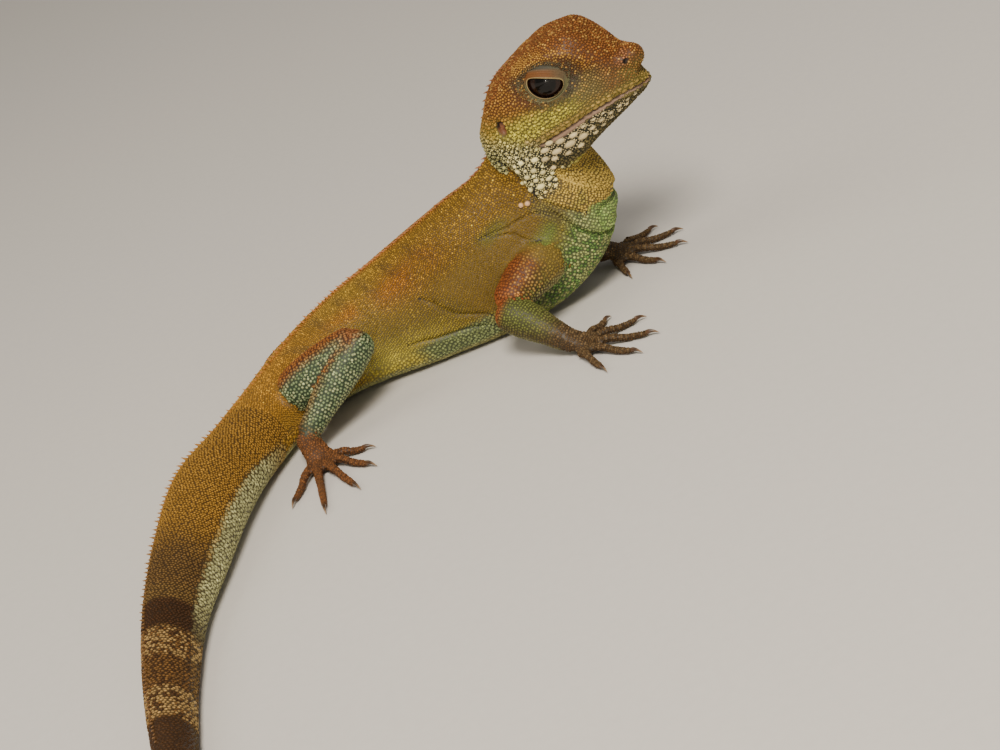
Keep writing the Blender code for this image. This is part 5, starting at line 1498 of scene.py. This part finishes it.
# Scales in the creases. Wherever the rows of two parts of the body meet, small irregular
# granules close the skin, coloured as their neighbours are.
whole = {key: np.concatenate([part[key] for bed in coat.values() for part in bed])
         for key in ("root", "tip", "gap", "along", "around", "lie", "spot")}
tree = tree_of(whole["root"])
nearest = [tree.find(point) for point in points]
beside = np.array([found[1] for found in nearest])
far = np.array([found[2] for found in nearest])
size = 0.5 * (whole["along"][beside] + whole["around"][beside]).clip(0.6, 0.9)
place = in_head(points)
by_lids = np.hypot((place[:, 0] - EYE_AT[0]) / 6.3, (place[:, 2] - EYE_AT[2] - 0.8) / 5.1) < 1.0
banned = (by_folds(points) < 0.35) | ((bare(place) | by_lids) & of_head) | (points[:, 2] < 0.15)
unclosed = (far > np.where(by_head, 0.95, 1.05) * size) & ~banned
kept = scattered(points, unclosed, 1.0, lambda near, own: 0.85 * size[own])
beside, count = beside[kept], len(kept)
bright = np.exp(chance.normal(0, 0.14, count))[:, None]
lay("creases", points[kept], normals[kept], whole["lie"][beside] + 1e-3, size[kept], size[kept], {
    "tip": whole["tip"][beside] * bright, "gap": whole["gap"][beside], "height": np.full(count, 0.17),
    "keel": np.full(count, 0.2), "fill": np.full(count, 0.9),
    "spot": (whole["spot"][beside] + chance.uniform(-0.004, 0.004, (count, 2))).clip(0, 1)})

# The coat's material and meshes. Each scale is a small closed dome with its foot sunk in the
# skin, its colour running from a dark foot, partly painted shade, to a bright crest, partly a
# painted highlight, with a faint gloss of dry horn.
horn = Look("scale_horn", {"Specular IOR Level": 0.15})
worn = horn.grain(0.22, 3.0)
horn.feed("Base Color", horn.shaded(horn.kept("Tint"), worn * 0.36 + 0.82))
horn.feed("Roughness", worn * 0.22 + 0.44)
horn.bump(worn, 0.02)
TRIANGLES_A_PIECE = 198000
FOOT_DEPTH = 0.16


def dome(sides, rings):
    """Rings, sides and triangles of one scale: a ring is its reach and its share of the height."""
    angles = np.linspace(0, 2 * math.pi, sides, endpoint=False) + math.pi / sides
    shape = [(reach * math.cos(angle), reach * math.sin(angle), level)
             for reach, level in rings for angle in angles] + [(0.0, 0.0, 1.0)]
    faces = []
    for ring in range(len(rings) - 1):
        for corner in range(sides):
            a, b = ring * sides + corner, ring * sides + (corner + 1) % sides
            faces += [(a, b, b + sides), (a, b + sides, a + sides)]
    top = (len(rings) - 1) * sides
    faces += [(top + corner, top + (corner + 1) % sides, len(shape) - 1) for corner in range(sides)]
    return np.array(shape), np.array(faces)


FINE = dome(6, ((1.0, -1.0), (0.76, 0.55)))
SMOOTH = dome(10, ((1.0, -1.0), (0.94, 0.30), (0.66, 0.82)))


def make_coat(name, bed, shape):
    """One object of many scales, with its colours and a small patch of the skin's map for each."""
    outline, faces = shape
    count, corners = len(bed["root"]), len(outline)
    lie, rise = bed["lie"], bed["rise"]
    across = np.cross(rise, lie)
    length, width = bed["along"] * bed["fill"] * 0.56, bed["around"] * bed["fill"] * 0.54
    x = outline[None, :, 0] * (1 + 0.22 * bed["keel"][:, None] * (outline[None, :, 0] > 0))
    x = x + bed["keel"][:, None] * 0.55 * outline[None, :, 2].clip(0)
    y = outline[None, :, 1] * width[:, None]
    level = np.where(outline[None, :, 2] > 0, outline[None, :, 2] * bed["height"][:, None], -FOOT_DEPTH)
    shape = (bed["root"][:, None] + (x * length[:, None])[..., None] * lie[:, None]
             + y[..., None] * across[:, None] + level[..., None] * rise[:, None])
    shape[..., 2] = shape[..., 2].clip(0.0)
    # The colour runs from the foot's up to the tip's, with painted shade at the foot; on small scales the tip
    # colour is kept to a narrow crest and passes it at the top, as a painted highlight.
    wide, narrow = (np.interp(outline[:, 2], (-1.0, 0.3, 0.82, 1.0), shares)
                    for shares in ((0.0, 0.40, 0.90, 1.0), (0.0, 0.22, 0.60, 1.1)))
    share = (narrow + (wide - narrow) * fade(0.95, 1.25, bed["around"])[:, None])[..., None]
    tint = (bed["gap"][:, None] * (1 - share) + bed["tip"][:, None] * share).clip(0.002, 0.95)
    numbers = (np.arange(count) * corners)[:, None, None] + faces[None]
    made = object_of(name, shape.reshape(-1, 3), numbers.reshape(-1, 3))
    store(made.data, "Tint", "FLOAT_COLOR", tint.reshape(-1, 3))
    patch = bed["spot"][:, None] * 0.98 + 0.01 + outline[None, :, :2] * 0.0015
    layer = made.data.uv_layers.new(name="OFBake")
    layer.data.foreach_set("uv", patch.reshape(-1, 2)[numbers.reshape(-1)].ravel().astype(np.float32))
    made.data.materials.append(horn.material)
    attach(made, "root")
    return made


TRUNK_NODES = ("neck", "chest", "belly", "pelvis")
TAIL_NODES = tuple(f"tail_{number}" for number in range(1, 7))
LIMB_NODES = tuple(f"{part}_{side}" for part in ("upper_arm", "forearm", "thigh", "shank")
                   for side in ("right", "left"))
CAD_UNDER = {
    "back": ("skin_trunk", TRUNK_NODES), "underside": ("skin_trunk", TRUNK_NODES),
    "tail_top": ("skin_tail", TAIL_NODES), "tail_under": ("skin_tail", TAIL_NODES),
    "limbs": ("skin_limb", LIMB_NODES),
    "digits": ("skin_foot", ("hand_right", "hand_left", "foot_right", "foot_left")),
    "head_plates": ("skin_jaw", ("head", "lower_jaw")), "head_beads": ("skin_head", ("head", "lower_jaw")),
    "creases": ("skin_trunk", TRUNK_NODES),
}
for region, parts in coat.items():
    bed = {key: np.concatenate([part[key] for part in parts]) for key in parts[0]}
    slot, nodes = CAD_UNDER[region]
    order = np.argsort(bed["spot"][:, 0], kind="stable")
    shape = SMOOTH if region.startswith("head") else FINE
    pieces = 1 + len(order) * len(shape[1]) // TRIANGLES_A_PIECE
    for number, chosen in enumerate(np.array_split(order, pieces), 1):
        name = f"scales_{region}" if pieces == 1 else f"scales_{region}_{number}"
        made = make_coat(name, {key: value[chosen] for key, value in bed.items()}, shape)
        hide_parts(*nodes)

# The skin's colour. Between the scales it has their dark foot colour, partly painted shade, so the
# markings run through, and it shows bare and pink on the lip, with painted shade in the folds,
# along the mouth's seam, in the nostrils and in the upper part of the ear pits.
MOUTH_SEAM_PAINTED_SHADE = hue(48, 26, 20)
FOLD_PAINTED_SHADE = hue(20, 16, 8)
NOSTRIL_PAINTED_SHADE = hue(30, 14, 10)
EAR_FLOOR = hue(110, 70, 50)
EAR_PAINTED_SHADE = hue(24, 10, 8)
gaps, roots = (np.concatenate([part[key] for bed in coat.values() for part in bed])
               for key in ("gap", "root"))
tree = tree_of(roots)
tint = gaps[[tree.find(point)[1] for point in points]]
b, v, w = in_head(points).T
over = w - mouth_height(b)
band = of_head & (b < 25.2) & (w > -4.6)
lip = np.where(band, window(-1.0, 0.0, 0.12, over / (lip_band(b) + 0.15)), 0.0)
tint = mixed(tint, LIP_PINK, lip)
# Painted shade along the groove of the closed mouth's seam.
tint = mixed(tint, MOUTH_SEAM_PAINTED_SHADE, np.where(band, np.exp(-(over / 0.16) ** 2) * 0.9, 0.0))
# Painted shade in the folds.
for _, line, _, _ in fold_lines:
    tint = mixed(tint, FOLD_PAINTED_SHADE, 1 - fade(0.3, 0.6, from_line(points, line)))
for side in (-1, 1):
    nostril = on_head((NOSTRIL_AT[0], side * NOSTRIL_AT[1], NOSTRIL_AT[2]))
    gap = np.linalg.norm(points - nostril, axis=1)
    # Painted shade in the pit of the nostril.
    tint = mixed(tint, NOSTRIL_PAINTED_SHADE, 1 - fade(0.5, 1.0, gap))
    ear = np.hypot((b - EAR_AT[0]) / 1.2, (w - EAR_AT[2]) / 1.8) + np.where(v * side > 4, 0, 99)
    tint = mixed(tint, EAR_FLOOR, (1 - fade(0.7, 1.0, ear)) * fade(1.2, 0.0, w - EAR_AT[2]))
    # Painted shade over the upper part of the ear pit, under its rim; the lower part keeps the ear's own
    # brown.
    tint = mixed(tint, EAR_PAINTED_SHADE, (1 - fade(0.7, 1.1, ear)) * fade(-0.4, 0.6, w - EAR_AT[2]))
store(hide, "Tint", "FLOAT_COLOR", tint)
leather = Look("bare_skin", {"Specular IOR Level": 0.4})
fold = leather.grain(0.30, 3.0)
leather.feed("Base Color", leather.shaded(leather.kept("Tint"), fold * 0.5 + 0.75))
leather.feed("Roughness", fold * 0.2 + 0.42)
leather.bump(fold, 0.04)
hide.materials.clear()
hide.materials.append(leather.material)
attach(skin, "root")
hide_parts(*(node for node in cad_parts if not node.startswith(("eye", "ear"))))

# Eardrums. A thin bare membrane, pinkish brown, stretched over each ear's opening behind the
# jowl. It is a closed lens of skin, set in the pit a little below the scales round it.
drum_look = Look("eardrum", {"Roughness": 0.4})
where = drum_look.grain(0.6, 2.0)
drum_look.feed("Base Color", drum_look.node("ShaderNodeValToRGB", {"stops": (
    (0.3, tuple(hue(84, 48, 36))), (0.7, tuple(hue(140, 92, 68))))}, {0: where}))
drum_look.bump(where, 0.05)
DRUM_HALF = (0.14, 0.95, 1.4)
for side, word in ((-1, "right"), (1, "left")):
    root, out = on_side(EAR_AT[0], EAR_AT[2], side)
    thick, long, tall = DRUM_HALF
    turns = np.linspace(0, 2 * math.pi, 24, endpoint=False)
    rim = [long * math.cos(turn) * HEAD_FRAME[0] + tall * math.sin(turn) * HEAD_FRAME[2] for turn in turns]
    rings = [[root + out * (thick * math.cos(tilt) - 0.02) + math.sin(tilt) * edge for edge in rim]
             for tilt in np.linspace(0.08, math.pi - 0.08, 9)]
    drum, faces = closed_loft(np.array(rings))
    eardrum = object_of("eardrum_" + word, drum, faces)
    faced_out(eardrum.data)
    eardrum.data.materials.append(drum_look.material)
    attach(eardrum, "root")
    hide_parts("ear_" + word)

# Crest. One row of horny spines down the middle of the back, slim and high on the nape, small
# teeth on the back and pale tipped on the rump and the root of the tail.
CREST_AT = (0.0, 20.0, 45.0, 80.0, 105.0, 160.0, 225.0)
CREST_STEP = (1.2, 1.15, 1.15, 1.2, 1.25, 1.25, 1.1)
CREST_RISE = (1.1, 1.05, 0.8, 0.95, 1.15, 1.0, 0.45)
CREST_TINT_AT = (0.0, 30.0, 60.0, 90.0, 120.0, 165.0, 225.0)
CREST_TINTS = np.array((hue(112, 62, 38), hue(140, 84, 44), hue(164, 98, 48), hue(178, 120, 56),
                        hue(184, 136, 70), hue(116, 88, 54), hue(90, 66, 44)))
CREST_PALE = hue(214, 170, 140)
crest_rows = []
NAPE_START, NAPE_END, NAPE_STEP = 24.5, 38.0, 1.15
CREST_START, CREST_END = 5.5, 216.0
back, _, up = HEAD_FRAME
for b in np.arange(NAPE_START, NAPE_END, NAPE_STEP):
    hit, normal, _, _ = skin_tree.ray_cast(Vector(on_head((b, 0.0, 30.0))), Vector(-up))
    if hit is not None:
        crest_rows.append((np.array(hit), np.array(normal), back, 0.5 + 0.045 * (b - NAPE_START), -4.0))
place = CREST_START
while place < CREST_END:
    surface = body.at([place, place + 0.3], [0.0, 0.0])
    lie = unit(surface[1] - surface[0])
    out = unit(surface[0] - body.at([place], [180.0])[0])
    hit, normal, _, _ = skin_tree.ray_cast(Vector(surface[0] + 3 * out), Vector(-out))
    inside_head = in_head(surface[0])[0] < 36.0 and in_head(surface[0])[2] < 6.0
    if hit is not None and abs((np.array(hit) - surface[0]) @ out) < 1.0 and not inside_head:
        tall = float(np.interp(place, CREST_AT, CREST_RISE)) * (1.15 if len(crest_rows) % 2 else 0.78)
        crest_rows.append((np.array(hit), out, lie, tall, place))
    place += float(np.interp(place, CREST_AT, CREST_STEP)) * chance.uniform(0.93, 1.07)
seeds = bpy.data.meshes.new("crest")
seeds.vertices.add(len(crest_rows))
seeds.vertices.foreach_set("co", placed([row[0] for row in crest_rows]).ravel())
for label, column in (("rise", 1), ("lie", 2)):
    layer = seeds.attributes.new(label, "FLOAT_VECTOR", "POINT")
    layer.data.foreach_set("vector", np.array([row[column] for row in crest_rows], np.float32).ravel())
store(seeds, "tall", "FLOAT", np.array([row[3] for row in crest_rows]))
store(seeds, "Tint", "FLOAT_COLOR", np.column_stack([
    np.interp([row[4] for row in crest_rows], CREST_TINT_AT, CREST_TINTS[:, channel])
    for channel in range(3)]))
crest = stood("crest", seeds)

tree = bpy.data.node_groups.new("row_of_spines", "GeometryNodeTree")
tree.interface.new_socket("Geometry", in_out="INPUT", socket_type="NodeSocketGeometry")
sockets = {}
for label, kind in (("Spine length", "NodeSocketFloat"), ("Spine thickness", "NodeSocketFloat"),
                    ("Spine lean", "NodeSocketFloat"), ("Spine height", "NodeSocketFloat"),
                    ("Variety", "NodeSocketInt"), ("Horn", "NodeSocketMaterial")):
    sockets[label] = tree.interface.new_socket(label, in_out="INPUT", socket_type=kind).identifier
tree.interface.new_socket("Geometry", in_out="OUTPUT", socket_type="NodeSocketGeometry")


def step(kind, settings, links):
    """A node of the tree, with its settings and what feeds its sockets."""
    node = tree.nodes.new(kind)
    for setting, value in settings.items():
        setattr(node, setting, value)
    for socket, value in links.items():
        if isinstance(value, bpy.types.NodeSocket):
            tree.links.new(value, node.inputs[socket])
        else:
            node.inputs[socket].default_value = value
    return node


def worked_out(operation, first, second):
    """What one Math node makes of two values."""
    return step("ShaderNodeMath", {"operation": operation}, {0: first, 1: second}).outputs[0]


def read_from_seed(name, kind):
    """What each seed point of the crest keeps under a name."""
    return step("GeometryNodeInputNamedAttribute", {"data_type": kind}, {"Name": name}).outputs[0]


given = step("NodeGroupInput", {}, {}).outputs
cone = step("GeometryNodeMeshCone", {"fill_type": "NGON"},
            {"Vertices": 8, "Side Segments": 4, "Radius Top": 0.06, "Radius Bottom": 0.5, "Depth": 1.0})
at = step("GeometryNodeInputPosition", {}, {}).outputs[0]
parts = step("ShaderNodeSeparateXYZ", {}, {0: at}).outputs
curve = worked_out("POWER", parts["Z"], 1.6)
lean = worked_out("MULTIPLY", curve, given["Spine lean"])
shift = step("ShaderNodeCombineXYZ", {}, {0: lean}).outputs[0]
bent = step("GeometryNodeSetPosition", {}, {"Geometry": cone.outputs["Mesh"], "Offset": shift}).outputs[0]
marked = step("GeometryNodeStoreNamedAttribute", {"data_type": "FLOAT", "domain": "POINT"},
              {"Geometry": bent, "Name": "level", "Value": parts["Z"]}).outputs[0]
stand = step("FunctionNodeAlignRotationToVector", {"axis": "Z"},
             {"Vector": read_from_seed("rise", "FLOAT_VECTOR")}).outputs[0]
stand = step("FunctionNodeAlignRotationToVector", {"axis": "X", "pivot_axis": "Z"},
             {"Rotation": stand, "Vector": read_from_seed("lie", "FLOAT_VECTOR")}).outputs[0]
vary = step("FunctionNodeRandomValue", {"data_type": "FLOAT"},
            {2: 0.82, 3: 1.15, "Seed": given["Variety"]}).outputs[1]
height = worked_out("MULTIPLY", read_from_seed("tall", "FLOAT"), given["Spine height"])
height = worked_out("MULTIPLY", height, vary)
size = step("ShaderNodeCombineXYZ", {},
            {0: given["Spine length"], 1: given["Spine thickness"], 2: height}).outputs[0]
row = step("GeometryNodeInstanceOnPoints", {}, {"Points": given["Geometry"], "Instance": marked,
                                                "Rotation": stand, "Scale": size}).outputs[0]
real = step("GeometryNodeRealizeInstances", {}, {0: row}).outputs[0]
rounded = step("GeometryNodeSetShadeSmooth", {}, {0: real}).outputs[0]
dressed = step("GeometryNodeSetMaterial", {}, {"Geometry": rounded, "Material": given["Horn"]}).outputs[0]
step("NodeGroupOutput", {}, {0: dressed})

spine_horn = Look("crest_horn", {"Roughness": 0.42, "Specular IOR Level": 0.45})
level_up = spine_horn.kept("level", 2)
paled = spine_horn.node("ShaderNodeMix", {"data_type": "RGBA", "blend_type": "MIX"}, {
    0: level_up * level_up * 0.55, 6: spine_horn.kept("Tint"), 7: (*CREST_PALE, 1.0)}, 2)
spine_horn.feed("Base Color", spine_horn.shaded(paled, spine_horn.grain(0.3) * 0.4 + 0.8))
spine_horn.bump(spine_horn.grain(0.15), 0.02)
growth = crest.modifiers.new("row_of_spines", "NODES")
growth.node_group = tree
for label, value in (("Spine length", 0.00095), ("Spine thickness", 0.0006), ("Spine lean", 0.75),
                     ("Spine height", 0.001), ("Variety", 4), ("Horn", spine_horn.material)):
    growth[sockets[label]] = value
graph = bpy.context.evaluated_depsgraph_get()
grown = bpy.data.meshes.new_from_object(crest.evaluated_get(graph), depsgraph=graph)
crest.modifiers.clear()
crest.data = grown
bpy.data.node_groups.remove(tree)
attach(crest, "root")
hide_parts("head", "neck", "chest", "belly", "pelvis", "tail_1", "tail_2", "tail_3")

# Claws. Curved horn on the end of each digit, dark brown and paler at the point. Each is a
# closed taper rooted in the tip of its digit, and those of one hand or foot are one piece.
claw_horn = Look("claw_horn", {"Roughness": 0.28, "Specular IOR Level": 0.5})
dark_to_pale = claw_horn.node("ShaderNodeValToRGB", {"stops": (
    (0.0, tuple(hue(92, 66, 48))), (0.45, tuple(hue(58, 40, 30))), (1.0, tuple(hue(150, 122, 98))),
)}, {0: claw_horn.kept("level", 2)})
claw_horn.feed("Base Color", claw_horn.shaded(dark_to_pale, claw_horn.grain(0.25) * 0.5 + 0.75))
claw_horn.bump(claw_horn.grain(0.12), 0.015)
claws = {}
CLAW_THICK = 0.62
CLAW_SIDES = 12
for kind, side, root, way in claw_roots:
    share = np.linspace(0, 1, 14)
    centres = root + way * (share * CLAW_LENGTH)[:, None]
    centres[:, 2] = root[2] + 0.42 * np.sin(math.pi * (0.12 + 0.78 * share)) - 0.62 * share**1.6 - 0.1
    radius = (CLAW_THICK * (1 - share) ** 0.72 + 0.05)[:, None]
    beside = np.array((way[1], -way[0], 0.0))
    turns = np.linspace(0, 2 * math.pi, CLAW_SIDES, endpoint=False)[None]
    rings = (centres[:, None] + (np.sin(turns) * radius * 0.62)[..., None] * beside
             + (np.cos(turns) * radius * 0.85)[..., None] * np.array((0.0, 0.0, 1.0)))
    rings[..., 2] = rings[..., 2].clip(0.02)
    levels = np.concatenate([np.repeat(share, CLAW_SIDES), (0.0, 1.0)])
    claws.setdefault((kind, side), []).append((*closed_loft(rings), levels))
for (kind, side), parts in claws.items():
    firsts = np.cumsum([0] + [len(part[0]) for part in parts])
    made = object_of(f"claws_{kind}_{side}", np.concatenate([part[0] for part in parts]),
                     np.concatenate([part[1] + first for part, first in zip(parts, firsts)]))
    faced_out(made.data)
    store(made.data, "level", "FLOAT", np.concatenate([part[2] for part in parts]))
    made.data.materials.append(claw_horn.material)
    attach(made, "root")
    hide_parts(f"{kind}_{side}")
